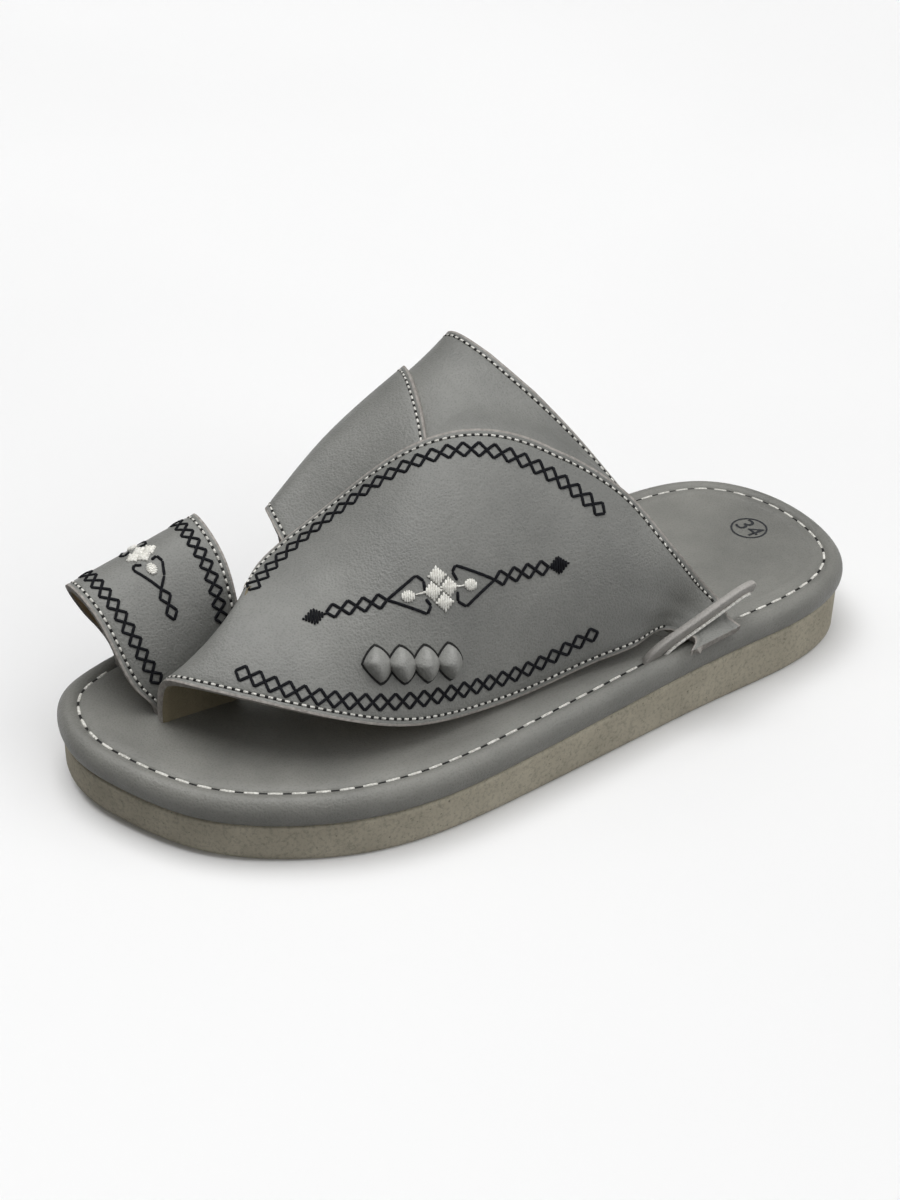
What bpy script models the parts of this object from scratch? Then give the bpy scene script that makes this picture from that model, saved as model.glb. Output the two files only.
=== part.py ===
# Toe-loop slipper for the left foot: a padded sandal with a leaf-shaped vamp panel.
# Metres, +Z up. The toe points to -Y and the outer side of the foot is +X.
# The origin is on the floor, under the middle of the sole.

import math
from collections import namedtuple

import bmesh
import bpy
import numpy as np

# Sole
SOLE_LENGTH = 0.230
BALL_WIDTH = 0.0956
OUTSOLE_HEEL = 0.0146
OUTSOLE_BALL = 0.0111
OUTSOLE_TOE = 0.0100
TOE_SPRING = 0.0030
SPRING_SHARE = 0.22
OUTSOLE_INSET = 0.0012
OUTSOLE_CORNER = 0.0014

# Padded footbed with its rolled rim
PAD_THICK = 0.0080
RIM_WIDTH = 0.0056
GROOVE_DEPTH = 0.0009

# Straps
STRAP_WALL = 0.0020
LAYER_STEP = 0.0010
INSTEP_RISE = 0.0646
ROOT_DEPTH = 0.0036
CLEARANCE = 0.0003

# Ears that hold the strap ends
EAR_WALL = 0.0024

# Lozenge ornament on the vamp
LOZENGE_LENGTH = 0.0098
LOZENGE_WIDTH = 0.0074
LOZENGE_HEIGHT = 0.0026

RING_COUNT = 88

Outline = namedtuple("Outline", "along medial lateral")
OUTLINE = (
    Outline(0.022, -0.66, 0.10),
    Outline(0.065, -0.82, 0.45),
    Outline(0.152, -0.96, 0.78),
    Outline(0.239, -1.00, 0.95),
    Outline(0.326, -0.935, 1.00),
    Outline(0.435, -0.82, 0.965),
    Outline(0.587, -0.735, 0.88),
    Outline(0.739, -0.76, 0.80),
    Outline(0.848, -0.785, 0.755),
    Outline(0.935, -0.67, 0.63),
    Outline(0.980, -0.42, 0.42),
)
TOE_TIP = -0.29
HEEL_TIP = 0.0

# Shares: x of half the ball width, y of the sole length from the toe,
# z of the instep rise above the footbed. crown is the panel's bulge.
Leaf = namedtuple("Leaf", "low_x low_y low_z high_x high_y high_z crown")
LEAF = (
    Leaf(-0.19, 0.100, -0.055, -0.19, 0.196, -0.055, 0.0),
    Leaf(-0.19, 0.100, 0.015, -0.19, 0.196, 0.015, 0.0),
    Leaf(-0.16, 0.098, 0.12, -0.19, 0.200, 0.22, -0.01),
    Leaf(-0.08, 0.098, 0.24, -0.18, 0.206, 0.39, -0.02),
    Leaf(0.11, 0.110, 0.30, -0.20, 0.213, 0.475, 0.02),
    Leaf(0.42, 0.167, 0.29, -0.36, 0.248, 0.50, 0.07),
    Leaf(0.62, 0.239, 0.205, -0.43, 0.335, 0.62, 0.13),
    Leaf(0.70, 0.317, 0.105, -0.25, 0.428, 0.88, 0.15),
    Leaf(0.69, 0.402, 0.045, -0.03, 0.519, 0.93, 0.13),
    Leaf(0.67, 0.487, 0.025, 0.23, 0.603, 0.75, 0.11),
    Leaf(0.68, 0.571, 0.05, 0.51, 0.663, 0.49, 0.07),
    Leaf(0.685, 0.625, 0.06, 0.60, 0.702, 0.30, 0.03),
)

Wing = namedtuple("Wing", "front_x front_y front_z mid_x mid_y mid_z rear_x rear_y rear_z")
WING = (
    Wing(-0.70, 0.294, 0.54, -0.77, 0.391, 0.785, -0.77, 0.491, 0.985),
    Wing(-0.88, 0.322, 0.41, -0.975, 0.393, 0.61, -1.01, 0.513, 0.82),
    Wing(-0.94, 0.338, 0.20, -0.95, 0.393, 0.31, -0.95, 0.538, 0.45),
)
WING_ROOT = (0.335, 0.560)

Loop = namedtuple("Loop", "front_x front_y front_z rear_x rear_y rear_z")
LOOP = (
    Loop(-0.235, 0.102, -0.055, -0.235, 0.194, -0.055),
    Loop(-0.235, 0.102, 0.015, -0.235, 0.194, 0.015),
    Loop(-0.27, 0.086, 0.11, -0.27, 0.212, 0.18),
    Loop(-0.36, 0.072, 0.25, -0.36, 0.220, 0.36),
    Loop(-0.49, 0.065, 0.37, -0.48, 0.221, 0.49),
    Loop(-0.70, 0.057, 0.435, -0.69, 0.219, 0.575),
    Loop(-0.88, 0.060, 0.38, -0.87, 0.221, 0.56),
    Loop(-0.95, 0.077, 0.24, -0.94, 0.226, 0.45),
    Loop(-0.91, 0.098, 0.11, -0.93, 0.230, 0.24),
)
LOOP_ROOT = (0.104, 0.226)

# An ear's outer and inner arc: share of the sole length, and height above the footbed in metres.
Arc = namedtuple("Arc", "outer_y outer_z inner_y inner_z")
LATERAL_ARC = (
    Arc(0.622, -0.0036, 0.641, -0.0036),
    Arc(0.630, 0.0015, 0.650, -0.0008),
    Arc(0.656, 0.0046, 0.669, 0.0016),
    Arc(0.691, 0.0068, 0.694, 0.0034),
    Arc(0.730, 0.0097, 0.730, 0.0062),
    Arc(0.765, 0.0122, 0.761, 0.0084),
    Arc(0.786, 0.0116, 0.774, 0.0078),
    Arc(0.789, 0.0070, 0.774, 0.0052),
    Arc(0.778, 0.0015, 0.760, 0.0006),
    Arc(0.770, -0.0036, 0.751, -0.0036),
)
MEDIAL_ARC = (
    Arc(0.622, -0.0036, 0.648, -0.0036),
    Arc(0.618, 0.0040, 0.645, 0.0040),
    Arc(0.622, 0.0120, 0.648, 0.0105),
    Arc(0.640, 0.0195, 0.660, 0.0150),
    Arc(0.673, 0.0228, 0.674, 0.0166),
    Arc(0.703, 0.0203, 0.689, 0.0150),
    Arc(0.725, 0.0150, 0.702, 0.0113),
    Arc(0.740, 0.0085, 0.713, 0.0068),
    Arc(0.747, 0.0020, 0.718, 0.0020),
    Arc(0.746, -0.0036, 0.717, -0.0036),
)
Ear = namedtuple("Ear", "side lean arcs")
EARS = {
    "ear_lateral": Ear(1, 0.25, LATERAL_ARC),
    "ear_medial": Ear(-1, 0.45, MEDIAL_ARC),
}

Finish = namedtuple("Finish", "colour roughness")
FINISHES = {
    "foam": Finish((0.40, 0.35, 0.26, 1.0), 0.90),
    "leather": Finish((0.21, 0.21, 0.19, 1.0), 0.50),
    "lining": Finish((0.35, 0.20, 0.08, 1.0), 0.60),
}


def clear_scene():
    for thing in list(bpy.data.objects):
        bpy.data.objects.remove(thing, do_unlink=True)


def new_collection(name):
    group = bpy.data.collections.new(name)
    bpy.context.scene.collection.children.link(group)
    return group


def finish(name):
    found = bpy.data.materials.get(name)
    if found:
        return found
    made = bpy.data.materials.new(name)
    made.use_nodes = True
    shader = made.node_tree.nodes["Principled BSDF"]
    shader.inputs["Base Color"].default_value = FINISHES[name].colour
    shader.inputs["Roughness"].default_value = FINISHES[name].roughness
    return made


def object_from(name, mesh_builder, group, material):
    mesh = bpy.data.meshes.new(name)
    mesh_builder.to_mesh(mesh)
    mesh_builder.free()
    thing = bpy.data.objects.new(name, mesh)
    group.objects.link(thing)
    mesh.materials.append(finish(material))
    mesh.shade_smooth()
    return thing


# Curves

def natural_spline(knots, values, at):
    """Natural cubic spline through values at knots, read at the given places."""
    knots = np.asarray(knots, float)
    values = np.asarray(values, float)
    count = len(knots)
    gap = np.diff(knots)
    system = np.zeros((count, count))
    right = np.zeros((count,) + values.shape[1:])
    system[0, 0] = system[-1, -1] = 1.0
    for i in range(1, count - 1):
        system[i, i - 1 : i + 2] = gap[i - 1], 2 * (gap[i - 1] + gap[i]), gap[i]
        rise_after = (values[i + 1] - values[i]) / gap[i]
        rise_before = (values[i] - values[i - 1]) / gap[i - 1]
        right[i] = 6 * (rise_after - rise_before)
    bend = np.linalg.solve(system, right.reshape(count, -1)).reshape(right.shape)
    shape = np.shape(at)
    at = np.ravel(np.asarray(at, float))
    i = np.clip(np.searchsorted(knots, at) - 1, 0, count - 2)
    wide = (slice(None),) + (None,) * (values.ndim - 1)
    step = gap[i][wide]
    left = (knots[i + 1] - at)[wide]
    on = (at - knots[i])[wide]
    curve = bend[i] * left**3 / (6 * step) + bend[i + 1] * on**3 / (6 * step)
    curve += (values[i] / step - bend[i] * step / 6) * left
    curve += (values[i + 1] / step - bend[i + 1] * step / 6) * on
    return curve.reshape(shape + values.shape[1:])


def along_points(points, count):
    """A smooth curve through the points, cut into count points by their spacing."""
    points = np.asarray(points, float)
    run = np.concatenate([[0], np.cumsum(np.linalg.norm(np.diff(points, axis=0), axis=1))])
    return natural_spline(run / run[-1], points, np.linspace(0, 1, count))


# The sole's own forms

def ease(share):
    share = np.clip(share, 0, 1)
    return share * share * (3 - 2 * share)


def share_along(y):
    return np.asarray(y) / SOLE_LENGTH + 0.5


def floor_lift(y):
    return TOE_SPRING * np.clip(1 - share_along(y) / SPRING_SHARE, 0, 1) ** 2


def outsole_top(y):
    share = share_along(y)
    to_ball = (OUTSOLE_BALL - OUTSOLE_TOE) * ease(share / 0.3)
    to_heel = (OUTSOLE_HEEL - OUTSOLE_BALL) * ease((share - 0.3) / 0.5)
    return OUTSOLE_TOE + to_ball + to_heel + floor_lift(y)


def pad_top(y):
    return outsole_top(y) + CLEARANCE + PAD_THICK


def outline(angle):
    """The rim's outline seen from above: 0 is the toe, pi the heel, the outer side is positive."""
    rows = [(math.acos(1 - 2 * row.along), row) for row in OUTLINE]
    medial = [(-place, row.medial) for place, row in rows]
    lateral = [(place, row.lateral) for place, row in rows]
    knots = sorted(medial + [(0.0, TOE_TIP)] + lateral + [(math.pi, HEEL_TIP)])
    turned = [(a - 2 * math.pi, x) for a, x in knots[-4:]]
    after = [(a + 2 * math.pi, x) for a, x in knots[:4]]
    knots = turned + knots + after
    angle = np.mod(np.asarray(angle, float) + math.pi, 2 * math.pi) - math.pi
    x = natural_spline([k[0] for k in knots], [k[1] for k in knots], angle)
    x = x * BALL_WIDTH / 2
    return np.stack([x, -SOLE_LENGTH / 2 * np.cos(angle)], axis=-1)


def inset_outline(angle, inset):
    """The outline moved inwards by inset, square to itself."""
    angle = np.asarray(angle, float)
    step = 0.01
    run = outline(angle + step) - outline(angle - step)
    run /= np.linalg.norm(run, axis=-1, keepdims=True)
    inward = np.stack([-run[..., 1], run[..., 0]], axis=-1)
    return outline(angle) + inward * inset


def edge_point(side, along, inset):
    """A point this far inside the rim's edge, at this share of the length, on one side."""
    angle = side * np.arccos(1 - 2 * np.asarray(along, float))
    for _ in range(4):
        error = share_along(inset_outline(angle, inset)[..., 1]) - along
        angle = angle - side * error * 2 / np.maximum(np.abs(np.sin(angle)), 0.2)
    return inset_outline(angle, inset)


def ring_angles():
    return np.arange(RING_COUNT) * 2 * math.pi / RING_COUNT


def stacked_rings(rings):
    """A closed body from rings of the outline, with its two ends filled across."""
    made = bmesh.new()
    loops = []
    for inset, height in rings:
        points = inset_outline(ring_angles(), inset)
        heights = height(points[:, 1])
        loops.append([made.verts.new((x, y, z)) for (x, y), z in zip(points, heights)])
    for low, high in zip(loops, loops[1:]):
        for i in range(RING_COUNT):
            j = (i + 1) % RING_COUNT
            made.faces.new((low[i], low[j], high[j], high[i]))
    fill_across(made, loops[0])
    fill_across(made, loops[-1])
    bmesh.ops.recalc_face_normals(made, faces=made.faces)
    return made


def fill_across(made, loop):
    """Faces from one side of the sole to the other, so the middle keeps the side's height."""
    half = RING_COUNT // 2
    for i in range(half):
        corners = [loop[i], loop[i + 1], loop[-i - 1], loop[-i % RING_COUNT]]
        unique = list(dict.fromkeys(corners))
        made.faces.new(unique)


def add_outsole(group):
    def part_way(share):
        return lambda y: floor_lift(y) + share * (outsole_top(y) - floor_lift(y))

    def above_floor(height):
        return lambda y: floor_lift(y) + height

    corner = OUTSOLE_CORNER
    rings = [
        (OUTSOLE_INSET + corner, above_floor(0.0)),
        (OUTSOLE_INSET + 0.3 * corner, above_floor(0.3 * corner)),
        (OUTSOLE_INSET, above_floor(corner)),
        (OUTSOLE_INSET, part_way(0.55)),
        (OUTSOLE_INSET + 0.2 * corner, part_way(0.97)),
        (OUTSOLE_INSET + 0.7 * corner, part_way(1.0)),
    ]
    return object_from("outsole", stacked_rings(rings), group, "foam")


def add_footbed(group):
    def above_outsole(share):
        return lambda y: outsole_top(y) + CLEARANCE + share * PAD_THICK

    groove = 1 - GROOVE_DEPTH / PAD_THICK
    rings = [
        (0.42 * RIM_WIDTH, above_outsole(0.0)),
        (0.20 * RIM_WIDTH, above_outsole(0.06)),
        (0.05 * RIM_WIDTH, above_outsole(0.22)),
        (0.0, above_outsole(0.46)),
        (0.06 * RIM_WIDTH, above_outsole(0.70)),
        (0.25 * RIM_WIDTH, above_outsole(0.90)),
        (0.55 * RIM_WIDTH, above_outsole(1.00)),
        (0.85 * RIM_WIDTH, above_outsole(0.96)),
        (RIM_WIDTH, above_outsole(groove)),
        (1.15 * RIM_WIDTH, above_outsole(0.96)),
        (1.60 * RIM_WIDTH, above_outsole(1.0)),
    ]
    return object_from("footbed", stacked_rings(rings), group, "leather")


# Straps

def place(x, along, rise):
    """A point from its shares: half the ball width, the length, and the instep rise."""
    y = (along - 0.5) * SOLE_LENGTH
    return np.array([x * BALL_WIDTH / 2, y, pad_top(y) + rise * INSTEP_RISE])


def rooted(side, along, inset, depth):
    """A point in the footbed's seam, this far below its top."""
    x, y = edge_point(side, along, inset)
    return np.array([x, y, pad_top(y) - depth])


def bowed(low, high, crown, across):
    """Points from low to high that bulge upwards by crown, square to the line between them."""
    run = (high - low) / np.linalg.norm(high - low)
    up = np.array([0.35, -0.15, 1.0])
    up = up - run * up.dot(run)
    up /= np.linalg.norm(up)
    shares = np.linspace(0, 1, across)[:, None]
    return low + (high - low) * shares + up * crown * 4 * shares * (1 - shares)


def smooth_grid(rows, count, start=0):
    """A grid on smooth curves through the rows, from the row named start to the last one."""
    rows = np.asarray(rows)
    middle = rows[:, rows.shape[1] // 2]
    run = np.concatenate([[0], np.cumsum(np.linalg.norm(np.diff(middle, axis=0), axis=1))])
    return natural_spline(run, rows, np.linspace(run[start], run[-1], count))


def grid_normals(grid):
    run = np.gradient(grid, axis=0)
    across = np.gradient(grid, axis=1)
    normal = np.cross(run, across)
    return normal / np.linalg.norm(normal, axis=2, keepdims=True)


def strap_from(name, grid, group, material, wall=STRAP_WALL):
    """A sheet whose outer face is the grid, thickened inwards."""
    made = bmesh.new()
    rows, columns = grid.shape[:2]
    points = [[made.verts.new(grid[i, j]) for j in range(columns)] for i in range(rows)]
    for i in range(rows - 1):
        for j in range(columns - 1):
            corners = (points[i][j], points[i + 1][j], points[i + 1][j + 1], points[i][j + 1])
            made.faces.new(corners)
    strap = object_from(name, made, group, material)
    shell = strap.modifiers.new("wall", "SOLIDIFY")
    shell.thickness = wall
    shell.offset = -1.0
    shell.use_even_offset = False
    return strap


class Surface:
    """A fine grid that can be read anywhere by two shares."""

    def __init__(self, grid):
        self.grid = grid
        self.normals = grid_normals(grid)

    def read(self, table, u, v):
        rows, columns = table.shape[:2]
        i = np.clip(u, 0, 1) * (rows - 1)
        j = np.clip(v, 0, 1) * (columns - 1)
        i0 = min(int(i), rows - 2)
        j0 = min(int(j), columns - 2)
        a, b = i - i0, j - j0
        low = table[i0, j0] * (1 - b) + table[i0, j0 + 1] * b
        high = table[i0 + 1, j0] * (1 - b) + table[i0 + 1, j0 + 1] * b
        return low * (1 - a) + high * a

    def lowered(self, u, v, depth=0.0):
        return self.read(self.grid, u, v) - self.read(self.normals, u, v) * depth


# The strap end that passes through an ear and lies on the rim: how far inside the rim's edge,
# its front and rear as shares of the length, and their heights above the footbed.
Tail = namedtuple("Tail", "inset front rear front_z rear_z")
LEAF_TAIL = (
    Tail(0.0080, 0.676, 0.738, 0.0030, 0.0068),
    Tail(0.0048, 0.699, 0.742, 0.0026, 0.0049),
    Tail(0.0016, 0.690, 0.746, 0.0027, 0.0038),
    Tail(-0.0016, 0.672, 0.750, 0.0026, 0.0030),
)
BAND_TAIL = (
    Tail(0.0052, 0.655, 0.700, 0.0036, 0.0040),
    Tail(0.0020, 0.656, 0.704, 0.0030, 0.0030),
    Tail(-0.0012, 0.656, 0.706, 0.0024, 0.0024),
)

# Where the collar edge runs, and how far along the leaf or the wing the band lies under it.
Over = namedtuple("Over", "x y z at depth")
COLLAR_OVER_LEAF = (
    Over(0.58, 0.697, 0.34, 0.790, 1.0),
    Over(0.36, 0.672, 0.49, 0.690, 1.0),
    Over(0.16, 0.647, 0.65, 0.610, 1.1),
    Over(-0.04, 0.621, 0.81, 0.545, 1.3),
    Over(-0.25, 0.595, 0.95, 0.480, 1.5),
)
COLLAR_OVER_WING = (
    Over(-0.52, 0.575, 1.04, 0.19, 0.6),
    Over(-0.80, 0.561, 1.07, 0.34, 0.6),
    Over(-0.95, 0.567, 0.98, 0.47, 0.6),
    Over(-1.00, 0.593, 0.82, 0.58, 0.6),
)
Free = namedtuple("Free", "x y z front_x front_y front_z")
COLLAR_FREE = (
    Free(-0.98, 0.630, 0.61, -0.96, 0.560, 0.50),
    Free(-0.865, 0.663, 0.46, -0.865, 0.600, 0.34),
    Free(-0.720, 0.683, 0.26, -0.665, 0.642, 0.20),
    Free(-0.645, 0.696, 0.12, -0.630, 0.656, 0.09),
)
LEAF_LAP = 0.10
WING_LAP = 0.14
WING_REAR_AT = 0.475
WING_FRONT_AT = 0.310

# Lozenges: shares of the leaf along and across
LOZENGE_COUNT = 4
LOZENGE_FROM = (0.402, 0.205)
LOZENGE_TO = (0.512, 0.198)


def tail_rows(side, tails, across, front_first):
    rows = []
    for tail in tails:
        front = rooted(side, tail.front, tail.inset, -tail.front_z)
        rear = rooted(side, tail.rear, tail.inset, -tail.rear_z)
        first, last = (front, rear) if front_first else (rear, front)
        rows.append(bowed(first, last, 0.0, across))
    return rows


def leaf_surface(rows=45, across=13):
    sections = []
    for row in LEAF:
        low = place(row.low_x, row.low_y, row.low_z)
        high = place(row.high_x, row.high_y, row.high_z)
        sections.append(bowed(low, high, row.crown * INSTEP_RISE, across))
    sections += tail_rows(1, LEAF_TAIL, across, front_first=True)
    return Surface(smooth_grid(sections, rows))


def wing_surface(leaf, rows=19, across=11):
    """The medial strap: it starts in a lap under the leaf and ends in the medial seam."""
    edge = np.linspace(WING_REAR_AT, WING_FRONT_AT, across)
    laps = (1 - LEAF_LAP, 1 - LEAF_LAP / 2, 1.0)
    under = np.array([[leaf.lowered(at, v, LAYER_STEP) for at in edge] for v in laps])
    free = []
    for row in WING:
        front = place(row.front_x, row.front_y, row.front_z)
        middle = place(row.mid_x, row.mid_y, row.mid_z)
        rear = place(row.rear_x, row.rear_y, row.rear_z)
        free.append(along_points([rear, middle, front], across))
    free += root_rows(WING_ROOT, across)
    sections = np.array([under[0], under[-1], *free])
    return Surface(np.concatenate([under[:-1], smooth_grid(sections, rows, start=1)]))


def root_rows(span, across):
    """Two rows that stand in the medial seam of the footbed, the lower one inside it."""
    inset = RIM_WIDTH - STRAP_WALL / 2
    rows = []
    for depth in (-0.25 * ROOT_DEPTH, ROOT_DEPTH):
        shares = np.linspace(span[1], span[0], across)
        rows.append(np.array([rooted(-1, share, inset, depth) for share in shares]))
    return rows


def lapped_rows(table, under, count, laps, across):
    """Rows from the collar edge to the edge of the piece above, then on beneath it."""
    knots = np.arange(len(table))
    values = np.array([(*place(row.x, row.y, row.z), row.at, row.depth) for row in table])
    rows = []
    for *collar, at, depth in natural_spline(knots, values, np.linspace(0, knots[-1], count)):
        lap = [under.lowered(at, v, depth * LAYER_STEP) for v in laps]
        bend = np.array([collar, lap[0], lap[-1]])
        run = np.concatenate([[0], np.cumsum(np.linalg.norm(np.diff(bend, axis=0), axis=1))])
        free = natural_spline(run, bend, np.linspace(0, run[1], across - len(lap) + 1))
        rows.append(np.concatenate([free[:-1], lap]))
    return rows


def band_surface(leaf, wing, across=10):
    """The instep band with the collar edge, from the lateral ear to the medial ear."""
    laps = (1.0, 1 - LEAF_LAP / 2, 1 - LEAF_LAP)
    rows = lapped_rows(COLLAR_OVER_LEAF, leaf, 13, laps, across)
    laps = (0.0, WING_LAP / 2, WING_LAP)
    rows += lapped_rows(COLLAR_OVER_WING, wing, 8, laps, across)
    sections = [rows[-1]]
    for row in COLLAR_FREE:
        rear = place(row.x, row.y, row.z)
        front = place(row.front_x, row.front_y, row.front_z)
        sections.append(bowed(rear, front, 0.0, across))
    sections += tail_rows(-1, BAND_TAIL, across, front_first=False)
    return Surface(np.concatenate([rows[:-1], smooth_grid(sections, 15)]))


def loop_surface(rows=27, across=9):
    sections = []
    for row in LOOP:
        rear = place(row.rear_x, row.rear_y, row.rear_z)
        front = place(row.front_x, row.front_y, row.front_z)
        sections.append(bowed(rear, front, 0.0, across))
    sections += root_rows(LOOP_ROOT, across)
    return Surface(smooth_grid(sections, rows))


def join(target, others, name):
    for other in others:
        step = target.modifiers.new(f"{name} {other.name}", "BOOLEAN")
        step.operation = "UNION"
        step.solver = "EXACT"
        step.object = other


def hide(thing):
    thing.hide_render = True
    thing.display_type = "WIRE"


def add_upper(group, cutters):
    leaf = leaf_surface()
    wing = wing_surface(leaf)
    band = band_surface(leaf, wing)
    upper = strap_from("upper", leaf.grid, group, "leather")
    pieces = [
        strap_from("wing_strap", wing.grid, cutters, "leather"),
        strap_from("instep_band", band.grid, cutters, "leather"),
    ]
    join(upper, pieces, "crosses")
    for piece in pieces:
        hide(piece)
    return leaf


def add_toe_loop(group):
    return strap_from("toe_loop", loop_surface().grid, group, "leather")


# Ears

def add_ear(name, ear, group, stations=23):
    """An arched leather strip that stands in the footbed's seam and lets a strap end through."""
    made = bmesh.new()
    rings = []
    knots = np.arange(len(ear.arcs))
    for arc in natural_spline(knots, np.array(ear.arcs), np.linspace(0, knots[-1], stations)):
        ring = []
        for (along, rise), wall in ((arc[:2], 0), (arc[:2], 1), (arc[2:], 1), (arc[2:], 0)):
            inset = RIM_WIDTH + (wall - 0.5) * EAR_WALL - ear.lean * max(rise, 0.0)
            ring.append(made.verts.new(rooted(ear.side, along, inset, -rise)))
        rings.append(ring)
    for low, high in zip(rings, rings[1:]):
        for i in range(4):
            j = (i + 1) % 4
            made.faces.new((low[i], low[j], high[j], high[i]))
    made.faces.new(rings[0])
    made.faces.new(rings[-1])
    bmesh.ops.recalc_face_normals(made, faces=made.faces)
    return object_from(name, made, group, "leather")


# Lozenges

def add_lozenge(name, leaf, centre, group, spokes=16, rings=4):
    """A puffed leather lozenge that follows the leaf a hair above it."""
    made = bmesh.new()
    step = 0.01
    u, v = centre
    along = np.linalg.norm(leaf.lowered(u + step, v) - leaf.lowered(u - step, v)) / (2 * step)
    across = np.linalg.norm(leaf.lowered(u, v + step) - leaf.lowered(u, v - step)) / (2 * step)

    def point(reach, angle, rise):
        square = abs(math.cos(angle)) ** 1.25 + abs(math.sin(angle)) ** 1.25
        size = reach / square ** (1 / 1.25)
        right = size * math.cos(angle) * LOZENGE_WIDTH / 2 / along
        up = size * math.sin(angle) * LOZENGE_LENGTH / 2 / across
        return leaf.lowered(u + right, v + up, -CLEARANCE - rise)

    angles = np.arange(spokes) * 2 * math.pi / spokes
    loops = []
    for face in (0.0, 1.0):
        reaches = np.arange(1, rings + 1) / rings
        for reach in reaches if face == 0.0 else reaches[::-1]:
            rise = LOZENGE_HEIGHT * (0.12 + 0.88 * (1 - reach**2.4)) * face
            loops.append([made.verts.new(point(reach, a, rise)) for a in angles])
    low_middle = made.verts.new(point(0.0, 0.0, 0.0))
    high_middle = made.verts.new(point(0.0, 0.0, LOZENGE_HEIGHT))
    for first, second in zip(loops, loops[1:]):
        for i in range(spokes):
            j = (i + 1) % spokes
            made.faces.new((first[i], first[j], second[j], second[i]))
    for i in range(spokes):
        j = (i + 1) % spokes
        made.faces.new((low_middle, loops[0][i], loops[0][j]))
        made.faces.new((high_middle, loops[-1][j], loops[-1][i]))
    bmesh.ops.recalc_face_normals(made, faces=made.faces)
    return object_from(name, made, group, "leather")


def add_lozenge_chain(leaf, group, cutters):
    """One laced strip that puffs up as a row of lozenges, each running into the next."""
    centres = np.linspace(LOZENGE_FROM, LOZENGE_TO, LOZENGE_COUNT)
    chain = add_lozenge("lozenge_chain", leaf, centres[0], group)
    for i, centre in enumerate(centres[1:], start=2):
        puff = add_lozenge(f"lozenge_{i}", leaf, centre, cutters)
        join(chain, [puff], "runs into")
        hide(puff)


# Seams cut into the footbed for the strap ends and the ears

def seam_cutter(name, group, corners):
    """A closed trench through rows of four corners, each row cut square to the seam."""
    made = bmesh.new()
    rows = [[made.verts.new(point) for point in row] for row in corners]
    for low, high in zip(rows, rows[1:]):
        for i in range(4):
            j = (i + 1) % 4
            made.faces.new((low[i], low[j], high[j], high[i]))
    made.faces.new(rows[0])
    made.faces.new(rows[-1])
    bmesh.ops.recalc_face_normals(made, faces=made.faces)
    cutter = object_from(name, made, group, "lining")
    hide(cutter)
    return cutter


def edge_seam(name, group, side, span, inset, wall, stations=12):
    """A trench along the footbed's edge for a wall whose outer face is at inset."""
    ends = 3 * CLEARANCE / SOLE_LENGTH
    over = PAD_THICK
    under = ROOT_DEPTH + CLEARANCE
    near, far = inset - CLEARANCE, inset + wall + CLEARANCE
    corners = []
    for along in np.linspace(span[0] - ends, span[1] + ends, stations):
        corners.append(
            [
                rooted(side, along, near, under),
                rooted(side, along, far, under),
                rooted(side, along, far, -over),
                rooted(side, along, near, -over),
            ]
        )
    return seam_cutter(name, group, corners)


def toe_seam(name, group):
    """The trench between the first two toes that takes the leaf and the loop."""
    first, loop = LEAF[0], LOOP[0]
    near = first.low_x * BALL_WIDTH / 2 + STRAP_WALL + CLEARANCE
    far = loop.front_x * BALL_WIDTH / 2 - STRAP_WALL - CLEARANCE
    ends = CLEARANCE / SOLE_LENGTH
    front = min(first.low_y, loop.front_y) - ends
    rear = max(first.high_y, loop.rear_y) + ends
    corners = []
    for along in np.linspace(front, rear, 4):
        y = (along - 0.5) * SOLE_LENGTH
        low = pad_top(y) + min(first.low_z, loop.front_z) * INSTEP_RISE - CLEARANCE
        high = pad_top(y) + PAD_THICK
        corners.append([(near, y, low), (far, y, low), (far, y, high), (near, y, high)])
    return seam_cutter(name, group, corners)


def cut_seams(footbed, cutters):
    strap_inset = RIM_WIDTH - STRAP_WALL / 2
    ear_inset = RIM_WIDTH - EAR_WALL / 2
    seams = [
        toe_seam("toe_seam", cutters),
        edge_seam("wing_seam", cutters, -1, WING_ROOT, strap_inset, STRAP_WALL),
        edge_seam("loop_seam", cutters, -1, LOOP_ROOT, strap_inset, STRAP_WALL),
    ]
    for name, ear in EARS.items():
        low_arcs = [arc for arc in ear.arcs if arc.outer_z < 1.5 * ROOT_DEPTH]
        span = (min(arc.outer_y for arc in low_arcs), max(arc.outer_y for arc in low_arcs))
        seams.append(edge_seam(f"{name}_seam", cutters, ear.side, span, ear_inset, EAR_WALL))
    for seam in seams:
        cut = footbed.modifiers.new(seam.name, "BOOLEAN")
        cut.operation = "DIFFERENCE"
        cut.solver = "EXACT"
        cut.object = seam


def main():
    clear_scene()
    group = new_collection("toe_loop_slipper")
    cutters = new_collection("cutters")
    add_outsole(group)
    footbed = add_footbed(group)
    cut_seams(footbed, cutters)
    leaf = add_upper(group, cutters)
    add_toe_loop(group)
    for name, ear in EARS.items():
        add_ear(name, ear, group)
    add_lozenge_chain(leaf, group, cutters)


main()
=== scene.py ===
# %% [markdown]
# # A toe-loop slipper, from the workbench up
#
# The slipper is a padded sandal for the left foot. A leaf-shaped panel crosses the forefoot, a strap
# and a band hold the instep, and a small loop goes round the big toe. The plain solids of the part are
# loaded first, and every cell after that dresses one piece of them: foam, padded footbed, leather
# straps, seams, embroidery and the printed size. All lengths are in metres.

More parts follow.
